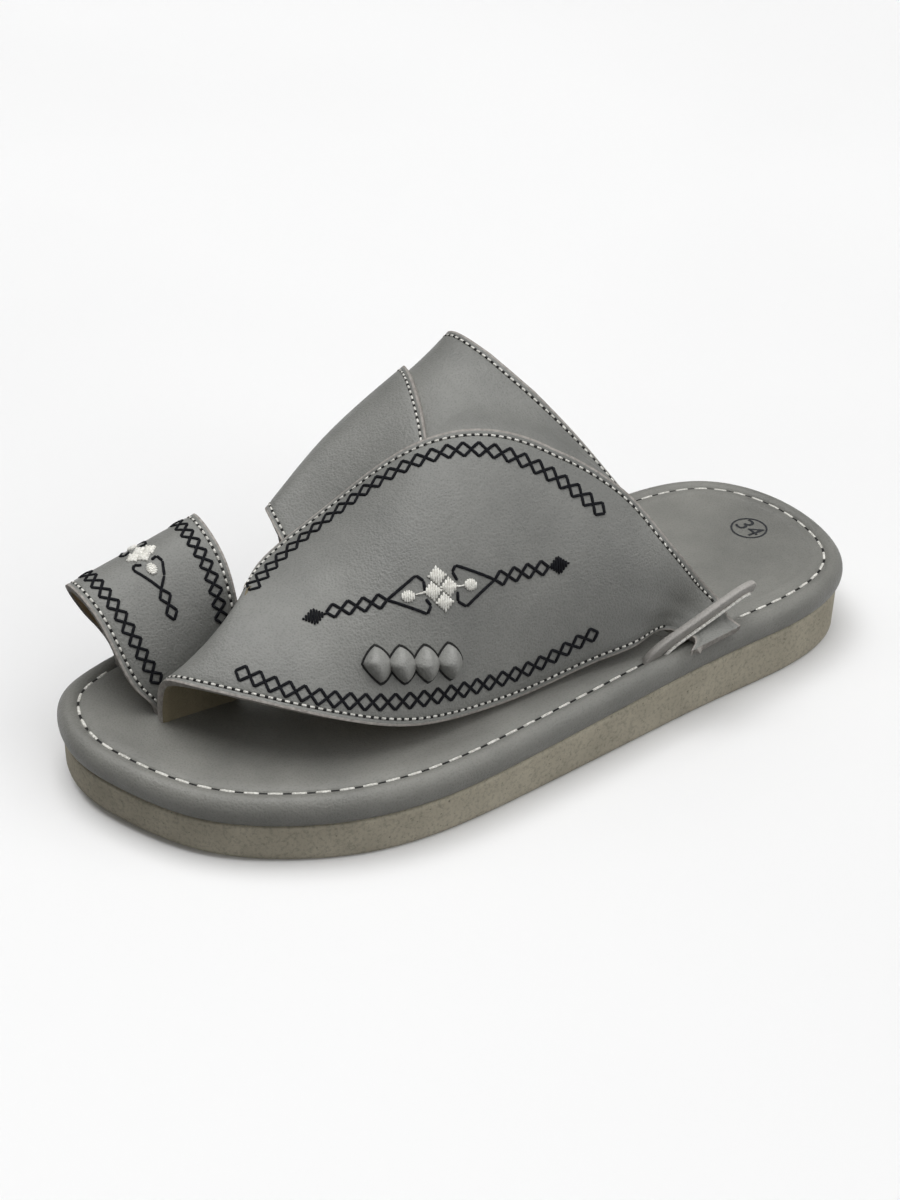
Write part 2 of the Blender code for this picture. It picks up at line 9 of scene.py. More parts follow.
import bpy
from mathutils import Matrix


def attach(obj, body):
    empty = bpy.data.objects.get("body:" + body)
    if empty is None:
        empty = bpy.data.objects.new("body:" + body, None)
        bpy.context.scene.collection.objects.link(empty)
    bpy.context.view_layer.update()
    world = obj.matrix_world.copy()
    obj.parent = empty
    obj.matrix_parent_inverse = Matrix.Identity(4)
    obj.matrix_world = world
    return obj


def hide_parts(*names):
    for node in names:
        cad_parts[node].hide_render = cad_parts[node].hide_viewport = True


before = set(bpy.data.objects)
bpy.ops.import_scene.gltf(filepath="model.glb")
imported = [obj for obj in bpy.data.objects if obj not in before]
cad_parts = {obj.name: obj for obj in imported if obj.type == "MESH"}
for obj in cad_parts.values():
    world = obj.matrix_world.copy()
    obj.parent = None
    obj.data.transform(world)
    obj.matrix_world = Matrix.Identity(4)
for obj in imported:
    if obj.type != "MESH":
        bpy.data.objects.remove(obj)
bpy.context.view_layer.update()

# %% [markdown]
# The bench holds a few tools for numbers and meshes, and a way to set a new object out on it.

# %% Tools of the bench
import math
from collections import namedtuple

import bmesh
import bpy
import numpy as np
from mathutils import Matrix, Vector


def set_out(name, data):
    """Puts a new object with this data into the scene."""
    thing = bpy.data.objects.new(name, data)
    bpy.context.scene.collection.objects.link(thing)
    return thing


print("Blender", bpy.app.version_string)

# %% [markdown]
# ## The camera
# The camera stands where the photograph was taken from: about 57 degrees round from the toe and
# 34 degrees up, a little over half a metre away. It was found by fitting the outlines of the shoe.
# Here it is turned to the middle of the one shoe and given a longer lens, so that the shoe fills the
# frame with the same perspective.

# %% Place the camera
CAMERA_AT = Vector((0.3922, -0.2590, 0.3477))
CAMERA_RIGHT = Vector((0.52504, 0.85088, 0.01827))
CAMERA_UP = Vector((-0.48444, 0.28113, 0.82842))
CAMERA_LENS = 63.2


def add_camera():
    data = bpy.data.cameras.new("photo_camera")
    data.lens = CAMERA_LENS
    data.sensor_width = 36.0
    data.clip_start = 0.01
    camera = set_out("photo_camera", data)
    turn = Matrix((CAMERA_RIGHT, CAMERA_UP, CAMERA_RIGHT.cross(CAMERA_UP))).transposed()
    camera.matrix_world = Matrix.Translation(CAMERA_AT) @ turn.to_4x4()
    bpy.context.scene.camera = camera
    return camera


camera = add_camera()
print("camera", tuple(round(c, 3) for c in camera.location))

# %% [markdown]
# ## Curves
# A shoemaker cuts each piece along smooth lines through a few known points. The same is done here
# with a natural cubic spline: it passes through its knots and bends as little as it can between them,
# like a thin wooden batten.

# %% A smooth curve through points


def natural_spline(knots, values, at):
    """Natural cubic spline through values at knots, read at the given places."""
    knots = np.asarray(knots, float)
    values = np.asarray(values, float)
    count = len(knots)
    gap = np.diff(knots)
    system = np.zeros((count, count))
    right = np.zeros((count,) + values.shape[1:])
    system[0, 0] = system[-1, -1] = 1.0
    for i in range(1, count - 1):
        system[i, i - 1 : i + 2] = gap[i - 1], 2 * (gap[i - 1] + gap[i]), gap[i]
        rise_after = (values[i + 1] - values[i]) / gap[i]
        rise_before = (values[i] - values[i - 1]) / gap[i - 1]
        right[i] = 6 * (rise_after - rise_before)
    bend = np.linalg.solve(system, right.reshape(count, -1)).reshape(right.shape)
    shape = np.shape(at)
    at = np.ravel(np.asarray(at, float))
    i = np.clip(np.searchsorted(knots, at) - 1, 0, count - 2)
    wide = (slice(None),) + (None,) * (values.ndim - 1)
    step = gap[i][wide]
    left = (knots[i + 1] - at)[wide]
    on = (at - knots[i])[wide]
    curve = bend[i] * left**3 / (6 * step) + bend[i + 1] * on**3 / (6 * step)
    curve += (values[i] / step - bend[i] * step / 6) * left
    curve += (values[i + 1] / step - bend[i + 1] * step / 6) * on
    return curve.reshape(shape + values.shape[1:])


def run_along(points):
    """How far along a line each of its points is."""
    steps = np.linalg.norm(np.diff(points, axis=0), axis=1)
    return np.concatenate([[0.0], np.cumsum(steps)])


def along_points(points, count):
    """A smooth curve through the points, cut into count points by their spacing."""
    points = np.asarray(points, float)
    run = run_along(points)
    return natural_spline(run / run[-1], points, np.linspace(0, 1, count))


print("spline at the middle of a rise:", natural_spline((0, 1, 2), (0, 1, 0), 0.5).round(3))

# %% [markdown]
# ## The sole's outline
# Everything stands on the sole, so its outline and its heights come first. The outline is read at
# shares of the length on both sides, and the foam is thicker under the heel than under the toe, with
# a slight spring at the tip. These are the part's own numbers.

# %% The sole's forms
SOLE_LENGTH = 0.230
BALL_WIDTH = 0.0956
OUTSOLE_HEEL = 0.0146
OUTSOLE_BALL = 0.0111
OUTSOLE_TOE = 0.0100
TOE_SPRING = 0.0030
SPRING_SHARE = 0.22
OUTSOLE_INSET = 0.0012
OUTSOLE_CORNER = 0.0014
PAD_THICK = 0.0080
RIM_WIDTH = 0.0056
SEAT_GAP = 0.0003
INSTEP_RISE = 0.0646

Outline = namedtuple("Outline", "along medial lateral")
OUTLINE = (
    Outline(0.022, -0.66, 0.10),
    Outline(0.065, -0.82, 0.45),
    Outline(0.152, -0.96, 0.78),
    Outline(0.239, -1.00, 0.95),
    Outline(0.326, -0.935, 1.00),
    Outline(0.435, -0.82, 0.965),
    Outline(0.587, -0.735, 0.88),
    Outline(0.739, -0.76, 0.80),
    Outline(0.848, -0.785, 0.755),
    Outline(0.935, -0.67, 0.63),
    Outline(0.980, -0.42, 0.42),
)
TOE_TIP = -0.29
HEEL_TIP = 0.0


def ease(share):
    share = np.clip(share, 0, 1)
    return share * share * (3 - 2 * share)


def share_along(y):
    return np.asarray(y) / SOLE_LENGTH + 0.5


def floor_lift(y):
    return TOE_SPRING * np.clip(1 - share_along(y) / SPRING_SHARE, 0, 1) ** 2


def outsole_top(y):
    share = share_along(y)
    to_ball = (OUTSOLE_BALL - OUTSOLE_TOE) * ease(share / 0.3)
    to_heel = (OUTSOLE_HEEL - OUTSOLE_BALL) * ease((share - 0.3) / 0.5)
    return OUTSOLE_TOE + to_ball + to_heel + floor_lift(y)


def pad_top(y):
    return outsole_top(y) + SEAT_GAP + PAD_THICK


def outline(angle):
    """The rim's outline from above: 0 is the toe, pi the heel, the outer side is positive."""
    rows = [(math.acos(1 - 2 * row.along), row) for row in OUTLINE]
    medial = [(-place, row.medial) for place, row in rows]
    lateral = [(place, row.lateral) for place, row in rows]
    knots = sorted(medial + [(0.0, TOE_TIP)] + lateral + [(math.pi, HEEL_TIP)])
    turned = [(a - 2 * math.pi, x) for a, x in knots[-4:]]
    after = [(a + 2 * math.pi, x) for a, x in knots[:4]]
    knots = turned + knots + after
    angle = np.mod(np.asarray(angle, float) + math.pi, 2 * math.pi) - math.pi
    x = natural_spline([k[0] for k in knots], [k[1] for k in knots], angle)
    return np.stack([x * BALL_WIDTH / 2, -SOLE_LENGTH / 2 * np.cos(angle)], axis=-1)


def inset_outline(angle, inset):
    """The outline moved inwards by inset, square to itself."""
    angle = np.asarray(angle, float)
    run = outline(angle + 0.01) - outline(angle - 0.01)
    run /= np.linalg.norm(run, axis=-1, keepdims=True)
    inward = np.stack([-run[..., 1], run[..., 0]], axis=-1)
    return outline(angle) + inward * inset


def edge_point(side, along, inset):
    """A point this far inside the rim's edge, at this share of the length, on one side."""
    along = np.asarray(along, float)
    angle = side * np.arccos(1 - 2 * along)
    for _ in range(4):
        error = share_along(inset_outline(angle, inset)[..., 1]) - along
        angle = angle - side * error * 2 / np.maximum(np.abs(np.sin(angle)), 0.2)
    return inset_outline(angle, inset)


print("ball at", outline(1.2).round(4), "heel height", round(float(pad_top(0.08)), 4))

# %% [markdown]
# ## Finishes
# Every finish is a small tree of nodes on Object coordinates, so that the grain keeps its real size
# wherever it lies. Each one mixes two close tones by a soft noise, varies the gloss a little, and adds
# a fine relief through a Bump node. Values that are the same all over are set on the shader itself.

# %% Helpers for finishes


def new_finish(name, roughness, specular):
    made = bpy.data.materials.new(name)
    made.use_nodes = True
    shader = made.node_tree.nodes["Principled BSDF"]
    shader.inputs["Roughness"].default_value = roughness
    shader.inputs["Specular IOR Level"].default_value = specular
    coordinates = made.node_tree.nodes.new("ShaderNodeTexCoord")
    coordinates.name = "where"
    return made


def where(finish):
    return finish.node_tree.nodes["where"].outputs["Object"]


def noise(finish, scale, detail=2.0, roughness=0.5, stretch=None):
    """A noise on the object's own coordinates, scale is in cells a metre."""
    tree = finish.node_tree
    node = tree.nodes.new("ShaderNodeTexNoise")
    node.inputs["Scale"].default_value = scale
    node.inputs["Detail"].default_value = detail
    node.inputs["Roughness"].default_value = roughness
    source = where(finish)
    if stretch:
        mapping = tree.nodes.new("ShaderNodeMapping")
        mapping.inputs["Scale"].default_value = stretch
        tree.links.new(source, mapping.inputs["Vector"])
        source = mapping.outputs["Vector"]
    tree.links.new(source, node.inputs["Vector"])
    return node.outputs["Fac"]


def cells(finish, scale):
    """Distance to the middle of small cells, scale is in cells a metre."""
    tree = finish.node_tree
    node = tree.nodes.new("ShaderNodeTexVoronoi")
    node.inputs["Scale"].default_value = scale
    tree.links.new(where(finish), node.inputs["Vector"])
    return node.outputs["Distance"]


def ramp(finish, source, stops):
    """A colour ramp; each stop is a place and a colour or a grey."""
    tree = finish.node_tree
    node = tree.nodes.new("ShaderNodeValToRGB")
    elements = node.color_ramp.elements
    while len(elements) < len(stops):
        elements.new(0.5)
    for element, (place, colour) in zip(elements, stops):
        element.position = place
        element.color = (*colour, 1.0) if isinstance(colour, tuple) else (colour,) * 3 + (1.0,)
    tree.links.new(source, node.inputs["Fac"])
    return node.outputs["Color"]


def multiply_tones(finish, share, first, second):
    """The first tones darkened by the second, by a share."""
    tree = finish.node_tree
    node = tree.nodes.new("ShaderNodeMix")
    node.data_type = "RGBA"
    node.blend_type = "MULTIPLY"
    node.inputs["Factor"].default_value = share
    tree.links.new(first, node.inputs[6])
    tree.links.new(second, node.inputs[7])
    return node.outputs[2]


def relief(finish, layers):
    """A chain of Bump nodes; each layer is a height, a strength and a depth."""
    tree = finish.node_tree
    before = None
    for height, strength, depth in layers:
        node = tree.nodes.new("ShaderNodeBump")
        node.inputs["Strength"].default_value = strength
        node.inputs["Distance"].default_value = depth
        tree.links.new(height, node.inputs["Height"])
        if before:
            tree.links.new(before, node.inputs["Normal"])
        before = node.outputs["Normal"]
    give(finish, "Normal", before)


def give(finish, socket, source):
    shader = finish.node_tree.nodes["Principled BSDF"]
    finish.node_tree.links.new(source, shader.inputs[socket])


print("helpers for finishes are ready")

# %% [markdown]
# ## Leather, lining and cut edge
# The grey leather is a smooth one with a fine pebble of about two thirds of a millimetre and a
# soft satin gloss. It is lined with tan leather, whose flesh side is duller, and the knife leaves a
# pale, slightly fibrous edge where the two lie on each other.

# %% Leather finishes
PEBBLE = 1500.0
PEBBLE_DEPTH = 0.00014


def leather_finish(name, dark, light, gloss=(0.40, 0.56)):
    made = new_finish(name, roughness=0.5, specular=0.42)
    mottle = ramp(made, noise(made, 26.0, detail=4.0, roughness=0.6), ((0.35, dark), (0.68, light)))
    pore = ramp(made, cells(made, PEBBLE), ((0.05, 0.62), (0.45, 1.0)))
    give(made, "Base Color", multiply_tones(made, 0.5, mottle, pore))
    give(made, "Roughness", ramp(made, noise(made, 60.0), ((0.3, gloss[0]), (0.7, gloss[1]))))
    fine = [(cells(made, PEBBLE), 0.7, PEBBLE_DEPTH), (noise(made, 3200.0), 0.45, PEBBLE_DEPTH)]
    grain = (noise(made, 800.0, detail=3.0), 0.35, 0.0002)
    waves = (noise(made, 130.0, detail=3.0), 0.22, 0.0004)
    relief(made, [*fine, grain, waves])
    return made


GREY_DARK = (0.182, 0.184, 0.173)
GREY_LIGHT = (0.255, 0.256, 0.240)
leather = leather_finish("grey_leather", GREY_DARK, GREY_LIGHT)
pad_leather = leather_finish("footbed_leather", (0.172, 0.172, 0.158), (0.240, 0.238, 0.218))
ear_leather = leather_finish("ear_leather", (0.27, 0.257, 0.24), (0.40, 0.383, 0.36))
lining = leather_finish("tan_lining", (0.32, 0.21, 0.095), (0.46, 0.31, 0.15), (0.55, 0.72))
# The panel's lining is a darker copy of the tan lining: painted shade for the dim hollow under the
# panel.
painted_shade_lining = leather_finish("panel_underside_painted_shade", (0.17, 0.145, 0.092), (0.28, 0.24, 0.155), (0.6, 0.75))
# The lozenges' leather is a lighter copy of the grey: painted light on the raised puffs.
lozenge_painted_light_leather = leather_finish("lozenge_painted_light_leather", (0.245, 0.247, 0.234), (0.34, 0.34, 0.322))
brown_lining = leather_finish("loop_lining", (0.22, 0.15, 0.08), (0.34, 0.24, 0.135), (0.55, 0.7))


def edge_finish(name, dark, light):
    made = new_finish(name, roughness=0.8, specular=0.2)
    give(made, "Base Color", ramp(made, noise(made, 900.0, detail=4.0), ((0.3, dark), (0.7, light))))
    relief(made, [(noise(made, 2600.0, detail=3.0), 0.5, 0.0002)])
    return made


cut_edge = edge_finish("cut_edge", (0.25, 0.232, 0.215), (0.43, 0.405, 0.375))
print("leather finishes:", [m.name for m in (leather, pad_leather, ear_leather, lining, cut_edge)])

# %% [markdown]
# ## Foam, thread and print
# The outsole is a micro-cellular foam that was cut from a sheet and sanded: a warm beige with a fine
# speckle, small open pores and faint upright sanding marks. Thread is nearly matt, and the print is a
# thin dark ink.

# %% Foam, thread and print finishes


def foam_finish():
    made = new_finish("sanded_foam", roughness=0.88, specular=0.25)
    cloud = ramp(
        made,
        noise(made, 55.0, detail=5.0, roughness=0.65),
        ((0.30, (0.435, 0.400, 0.315)), (0.72, (0.620, 0.572, 0.455))),
    )
    speckle = ramp(made, noise(made, 950.0, detail=3.0, roughness=0.7), ((0.32, 0.62), (0.52, 1.0)))
    pores = ramp(made, cells(made, 420.0), ((0.06, 0.35), (0.13, 1.0)))
    base = multiply_tones(made, 0.75, cloud, speckle)
    give(made, "Base Color", multiply_tones(made, 0.60, base, pores))
    sanded = noise(made, 700.0, detail=2.0, stretch=(1.0, 1.0, 0.12))
    relief(made, [(pores, 0.5, 0.0003), (sanded, 0.35, 0.0002), (noise(made, 1900.0), 0.4, 0.0001)])
    return made


def thread_finish(name, colour, shade):
    made = new_finish(name, roughness=0.7, specular=0.15)
    give(made, "Base Color", ramp(made, noise(made, 1500.0), ((0.35, shade), (0.65, colour))))
    relief(made, [(noise(made, 3800.0, detail=1.0), 0.5, 0.00015)])
    return made


def ink_finish():
    made = new_finish("size_ink", roughness=0.6, specular=0.3)
    tones = ((0.3, (0.016, 0.018, 0.022)), (0.75, (0.045, 0.047, 0.05)))
    give(made, "Base Color", ramp(made, noise(made, 1200.0, detail=4.0), tones))
    return made


foam = foam_finish()
white_thread = thread_finish("white_thread", (0.86, 0.85, 0.80), (0.52, 0.51, 0.47))
bright_thread = thread_finish("bright_thread", (0.93, 0.92, 0.87), (0.70, 0.69, 0.64))
black_thread = thread_finish("black_thread", (0.010, 0.011, 0.014), (0.004, 0.004, 0.006))
# A near-black finish of painted shade: dark beads in the needle holes and a dark rim round each
# lozenge.
shade_dark = thread_finish("needle_holes", (0.030, 0.030, 0.029), (0.016, 0.016, 0.016))
ink = ink_finish()
print("foam, thread and ink finishes are ready")

# %% [markdown]
# ## A sheet on the bench
# Every leather piece starts as a flat grid, as it does on the cutting table. Its points are then moved
# onto the shape that the piece takes on the shoe. The grid operator makes the faces, so a piece can
# have as many as it needs, and its first side becomes the outer one.

# %% Helpers for pieces


def shaped_grid(points, edge_finish=0):
    """A flat grid from the operator, with each of its points moved onto the shape."""
    rows, columns = points.shape[:2]
    made = bmesh.new()
    bmesh.ops.create_grid(made, x_segments=rows - 1, y_segments=columns - 1, size=1.0)
    for face in made.faces:
        if sum(abs(vert.co.y) > 0.999 for vert in face.verts) == 2:
            face.material_index = edge_finish
    for vert in made.verts:
        i = round((vert.co.x + 1) / 2 * (rows - 1))
        j = round((vert.co.y + 1) / 2 * (columns - 1))
        vert.co = points[i, j]
    return made


def finished_mesh(name, made, finishes=()):
    mesh = bpy.data.meshes.new(name)
    made.to_mesh(mesh)
    made.free()
    for finish in finishes:
        mesh.materials.append(finish)
    return mesh


def add_piece(name, made, finishes, stands_for=()):
    mesh = finished_mesh(name, made, finishes)
    mesh.shade_smooth()
    piece = set_out(name, mesh)
    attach(piece, "root")
    if stands_for:
        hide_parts(*stands_for)
    print(name, "has", len(mesh.polygons), "faces")
    return piece


def close_shell(made):
    """Welds the points that meet and turns every face outwards."""
    bmesh.ops.remove_doubles(made, verts=made.verts, dist=1e-6)
    bmesh.ops.recalc_face_normals(made, faces=made.faces)
    return made


print("helpers for pieces are ready")

# %% [markdown]
# ## The outsole
# The foam is cut to the outline and sanded square, with its bottom edge just broken. It is drawn as
# rings of the outline, from a line under the foot, round the edge and back to a line on top, so that
# the closed body has no large flat cap.

# %% The foam outsole
SOLE_SEGMENTS = 300
SPINE_SHORTER = 0.036
DRAWN_IN = (1.0, 0.92, 0.83, 0.74, 0.65, 0.56, 0.47, 0.38, 0.29, 0.20, 0.12, 0.06)


def sole_shell(rings):
    """A closed sole. A ring is an inset, how far it is drawn to the spine, and a height."""
    angles = np.linspace(0, 2 * math.pi, SOLE_SEGMENTS + 1)
    spine_x = (outline(angles)[:, 0] + outline(-angles)[:, 0]) / 2
    spine_y = -(SOLE_LENGTH / 2 - SPINE_SHORTER) * np.cos(angles)
    spine = np.stack([spine_x, spine_y], axis=-1)
    rows = []
    for inset, drawn, height in rings:
        edge = inset_outline(angles, inset)
        flat = edge + (spine - edge) * drawn
        rows.append(np.column_stack([flat, height(flat[:, 0], flat[:, 1])]))
    return close_shell(shaped_grid(np.array(rows)))


def outsole_rings():
    def part_way(share):
        return lambda x, y: floor_lift(y) + share * (outsole_top(y) - floor_lift(y))

    def above_floor(height):
        return lambda x, y: floor_lift(y) + height

    corner = OUTSOLE_CORNER
    rings = [(OUTSOLE_INSET + corner, drawn, above_floor(0.0)) for drawn in DRAWN_IN]
    for turn in np.linspace(0, math.pi / 2, 5):
        inset = OUTSOLE_INSET + corner * (1 - math.sin(turn))
        rings.append((inset, 0.0, above_floor(corner * (1 - math.cos(turn)))))
    for share in (0.30, 0.45, 0.60, 0.75, 0.88):
        rings.append((OUTSOLE_INSET, 0.0, part_way(share)))
    for inset, share in ((0.08, 0.94), (0.25, 0.98), (0.7, 1.0)):
        rings.append((OUTSOLE_INSET + inset * corner, 0.0, part_way(share)))
    rings += [(OUTSOLE_INSET + corner, drawn, part_way(1.0)) for drawn in DRAWN_IN[::-1]]
    return rings


add_piece("foam_outsole", sole_shell(outsole_rings()), [foam], ["outsole"])

# %% [markdown]
# ## The footbed
# A thin foam pad is wrapped in grey leather, and the leather is rolled round its rim and stitched
# through, which pulls a groove all the way round. The roll's section is a spline through eleven
# points. Inside the groove the pad swells a little, and it is slightly hollowed for heel and ball.

# %% The padded footbed
RIM_SECTION = (
    (0.42, 0.0), (0.20, 0.06), (0.05, 0.22), (0.0, 0.46), (0.06, 0.70), (0.25, 0.90),
    (0.55, 1.00), (0.86, 0.94), (1.00, 0.840), (1.14, 0.935), (1.60, 1.00),
)
HEEL_HOLLOW = (-0.001, 0.080, 0.024, 0.034, 0.0007)
BALL_HOLLOW = (0.002, -0.040, 0.026, 0.030, 0.0005)


def hollow(x, y, place):
    """A soft round hollow: its middle, its two reaches and its depth."""
    middle_x, middle_y, wide, long, depth = place
    return depth * np.exp(-(((x - middle_x) / wide) ** 2) - ((y - middle_y) / long) ** 2)


def pad_surface(x, y):
    return pad_top(y) - hollow(x, y, HEEL_HOLLOW) - hollow(x, y, BALL_HOLLOW)


def footbed_rings():
    def above_outsole(share):
        return lambda x, y: outsole_top(y) + SEAT_GAP + share * PAD_THICK

    rings = [(RIM_SECTION[0][0] * RIM_WIDTH, drawn, above_outsole(0.0)) for drawn in DRAWN_IN]
    knots = np.arange(len(RIM_SECTION))
    for inset, share in natural_spline(knots, RIM_SECTION, np.linspace(0, knots[-1], 41)):
        rings.append((inset * RIM_WIDTH, 0.0, above_outsole(share)))
    swell = (0.02, *DRAWN_IN[::-1])
    rings += [(RIM_SECTION[-1][0] * RIM_WIDTH, drawn, pad_surface) for drawn in swell]
    return rings


footbed = add_piece("padded_footbed", sole_shell(footbed_rings()), [pad_leather], ["footbed"])

# %% [markdown]
# ## The straps' lines
# The panel, the medial strap, the instep band and the loop are each a row of cross-sections, given as
# shares of the sole and of the instep's rise. A smooth surface through them can be read anywhere by
# two shares: u runs along the strap and v across it. These are the part's own numbers again, but for
# the front edge of the medial strap, which is drawn a little further forward and higher.

# %% Section tables
Leaf = namedtuple("Leaf", "low_x low_y low_z high_x high_y high_z crown")
LEAF = (
    Leaf(-0.19, 0.100, -0.055, -0.19, 0.196, -0.055, 0.0),
    Leaf(-0.19, 0.100, 0.015, -0.19, 0.196, 0.015, 0.0),
    Leaf(-0.16, 0.098, 0.12, -0.19, 0.200, 0.22, -0.01),
    Leaf(-0.08, 0.098, 0.24, -0.18, 0.206, 0.39, -0.02),
    Leaf(0.11, 0.110, 0.30, -0.20, 0.213, 0.475, 0.02),
    Leaf(0.42, 0.167, 0.29, -0.36, 0.248, 0.50, 0.07),
    Leaf(0.62, 0.239, 0.205, -0.43, 0.335, 0.62, 0.13),
    Leaf(0.70, 0.317, 0.105, -0.25, 0.428, 0.88, 0.15),
    Leaf(0.69, 0.402, 0.045, -0.03, 0.519, 0.93, 0.13),
    Leaf(0.67, 0.487, 0.025, 0.23, 0.603, 0.75, 0.11),
    Leaf(0.68, 0.571, 0.05, 0.51, 0.663, 0.49, 0.07),
    Leaf(0.685, 0.625, 0.06, 0.60, 0.702, 0.30, 0.03),
)

Wing = namedtuple("Wing", "front_x front_y front_z mid_x mid_y mid_z rear_x rear_y rear_z")
WING = (
    Wing(-0.70, 0.294, 0.565, -0.77, 0.391, 0.785, -0.77, 0.491, 0.985),
    Wing(-0.88, 0.322, 0.425, -0.975, 0.393, 0.61, -1.01, 0.513, 0.82),
    Wing(-0.94, 0.338, 0.20, -0.95, 0.393, 0.31, -0.95, 0.538, 0.45),
)
WING_ROOT = (0.335, 0.560)

Loop = namedtuple("Loop", "front_x front_y front_z rear_x rear_y rear_z")
LOOP = (
    Loop(-0.235, 0.102, -0.055, -0.235, 0.194, -0.055),
    Loop(-0.235, 0.102, 0.015, -0.235, 0.194, 0.015),
    Loop(-0.27, 0.086, 0.11, -0.27, 0.212, 0.18),
    Loop(-0.36, 0.072, 0.25, -0.36, 0.220, 0.36),
    Loop(-0.49, 0.065, 0.37, -0.48, 0.221, 0.49),
    Loop(-0.70, 0.057, 0.435, -0.69, 0.219, 0.575),
    Loop(-0.88, 0.060, 0.38, -0.87, 0.221, 0.56),
    Loop(-0.95, 0.077, 0.24, -0.94, 0.226, 0.45),
    Loop(-0.91, 0.098, 0.11, -0.93, 0.230, 0.24),
)
LOOP_ROOT = (0.104, 0.226)

Tail = namedtuple("Tail", "inset front rear front_z rear_z")
LEAF_TAIL = (
    Tail(0.0080, 0.676, 0.738, 0.0030, 0.0068),
    Tail(0.0048, 0.686, 0.742, 0.0026, 0.0049),
    Tail(0.0016, 0.690, 0.746, 0.0027, 0.0038),
    Tail(-0.0016, 0.672, 0.750, 0.0026, 0.0030),
)
BAND_TAIL = (
    Tail(0.0052, 0.655, 0.700, 0.0036, 0.0040),
    Tail(0.0020, 0.656, 0.704, 0.0030, 0.0030),
    Tail(-0.0012, 0.656, 0.706, 0.0024, 0.0024),
)

Over = namedtuple("Over", "x y z at")
COLLAR_OVER_LEAF = (
    Over(0.58, 0.697, 0.34, 0.790),
    Over(0.36, 0.672, 0.49, 0.690),
    Over(0.16, 0.647, 0.65, 0.610),
    Over(-0.04, 0.621, 0.81, 0.545),
    Over(-0.25, 0.595, 0.95, 0.480),
)
COLLAR_OVER_WING = (
    Over(-0.52, 0.575, 1.04, 0.19),
    Over(-0.80, 0.561, 1.07, 0.34),
    Over(-0.95, 0.567, 0.98, 0.47),
    Over(-1.00, 0.593, 0.82, 0.58),
)
Free = namedtuple("Free", "rear_x rear_y rear_z front_x front_y front_z")
COLLAR_FREE = (
    Free(-0.98, 0.630, 0.61, -0.96, 0.560, 0.50),
    Free(-0.865, 0.663, 0.46, -0.865, 0.600, 0.34),
    Free(-0.720, 0.683, 0.26, -0.665, 0.642, 0.20),
    Free(-0.645, 0.696, 0.12, -0.630, 0.656, 0.09),
)
LEAF_LAP = 0.10
WING_LAP = 0.14
WING_REAR_AT = 0.475
WING_FRONT_AT = 0.283
STRAP_WALL = 0.0018
LAYER_STEP = 0.0019
ROOT_DEPTH = 0.0036
print("sections:", len(LEAF), "panel,", len(WING), "strap,", len(LOOP), "loop")

# %% [markdown]
# A sheet of leather bends smoothly, so a few sections are enough to know where all of it lies. The
# surface is worked out once as a fine grid, with its outward direction at each point. Seams, threads
# and laps are then placed on it by their shares, at any depth below the outer face.

# %% Read a strap's surface


class Surface:
    """A fine grid of points that can be read anywhere by two shares."""

    def __init__(self, grid):
        self.grid = grid
        normal = np.cross(np.gradient(grid, axis=0), np.gradient(grid, axis=1))
        self.normals = normal / np.linalg.norm(normal, axis=2, keepdims=True)
        self.widths = np.linalg.norm(np.diff(grid, axis=1), axis=2).sum(axis=1)
        ahead = grid[:, -1] - grid[:, -3]
        ahead /= np.linalg.norm(ahead, axis=1, keepdims=True)
        self.ahead = np.repeat(ahead[:, None], 2, axis=1)

    def read(self, table, u, v):
        rows, columns = table.shape[:2]
        i = np.clip(np.asarray(u, float), 0, 1) * (rows - 1)
        j = np.clip(np.asarray(v, float), 0, 1) * (columns - 1)
        i0 = np.minimum(i.astype(int), rows - 2)
        j0 = np.minimum(j.astype(int), columns - 2)
        a, b = (i - i0)[..., None], (j - j0)[..., None]
        low = table[i0, j0] * (1 - b) + table[i0, j0 + 1] * b
        high = table[i0 + 1, j0] * (1 - b) + table[i0 + 1, j0 + 1] * b
        return low * (1 - a) + high * a

    def normal(self, u, v):
        return self.read(self.normals, u, v)

    def lowered(self, u, v, depth=0.0):
        """A point below the outer face. Past the high edge the surface runs straight on."""
        depth = np.asarray(depth, float)[..., None]
        beyond = (np.maximum(np.asarray(v, float) - 1, 0) * self.width(u))[..., None]
        ahead = self.read(self.ahead, u, 0.0 * np.asarray(v, float))
        return self.read(self.grid, u, v) + ahead * beyond - self.normal(u, v) * depth

    def width(self, u):
        return np.interp(u, np.linspace(0, 1, len(self.widths)), self.widths)


def place(x, along, rise):
    """A point from its shares: half the ball width, the length, and the instep rise."""
    y = (along - 0.5) * SOLE_LENGTH
    return np.array([x * BALL_WIDTH / 2, y, pad_top(y) + rise * INSTEP_RISE])


def rooted(side, along, inset, depth):
    """A point in the footbed's seam, this far below its top."""
    x, y = edge_point(side, along, inset)
    return np.array([x, y, pad_top(y) - depth])


def bowed(low, high, crown, across):
    """Points from low to high that bulge upwards by crown, square to the line between them."""
    run = (high - low) / np.linalg.norm(high - low)
    up = np.array([0.35, -0.15, 1.0])
    up = up - run * up.dot(run)
    up /= np.linalg.norm(up)
    shares = np.linspace(0, 1, across)[:, None]
    return low + (high - low) * shares + up * crown * 4 * shares * (1 - shares)


def smooth_grid(rows, count, start=0):
    rows = np.asarray(rows)
    run = run_along(rows[:, rows.shape[1] // 2])
    return natural_spline(run, rows, np.linspace(run[start], run[-1], count))


def tail_rows(side, tails, across, front_first):
    rows = []
    for tail in tails:
        front = rooted(side, tail.front, tail.inset, -tail.front_z)
        rear = rooted(side, tail.rear, tail.inset, -tail.rear_z)
        first, last = (front, rear) if front_first else (rear, front)
        rows.append(bowed(first, last, 0.0, across))
    return rows


def straight_rows(table, across):
    """Straight sections of a strap from its rear edge to its front edge."""
    rows = []
    for row in table:
        rear = place(row.rear_x, row.rear_y, row.rear_z)
        front = place(row.front_x, row.front_y, row.front_z)
        rows.append(bowed(rear, front, 0.0, across))
    return rows


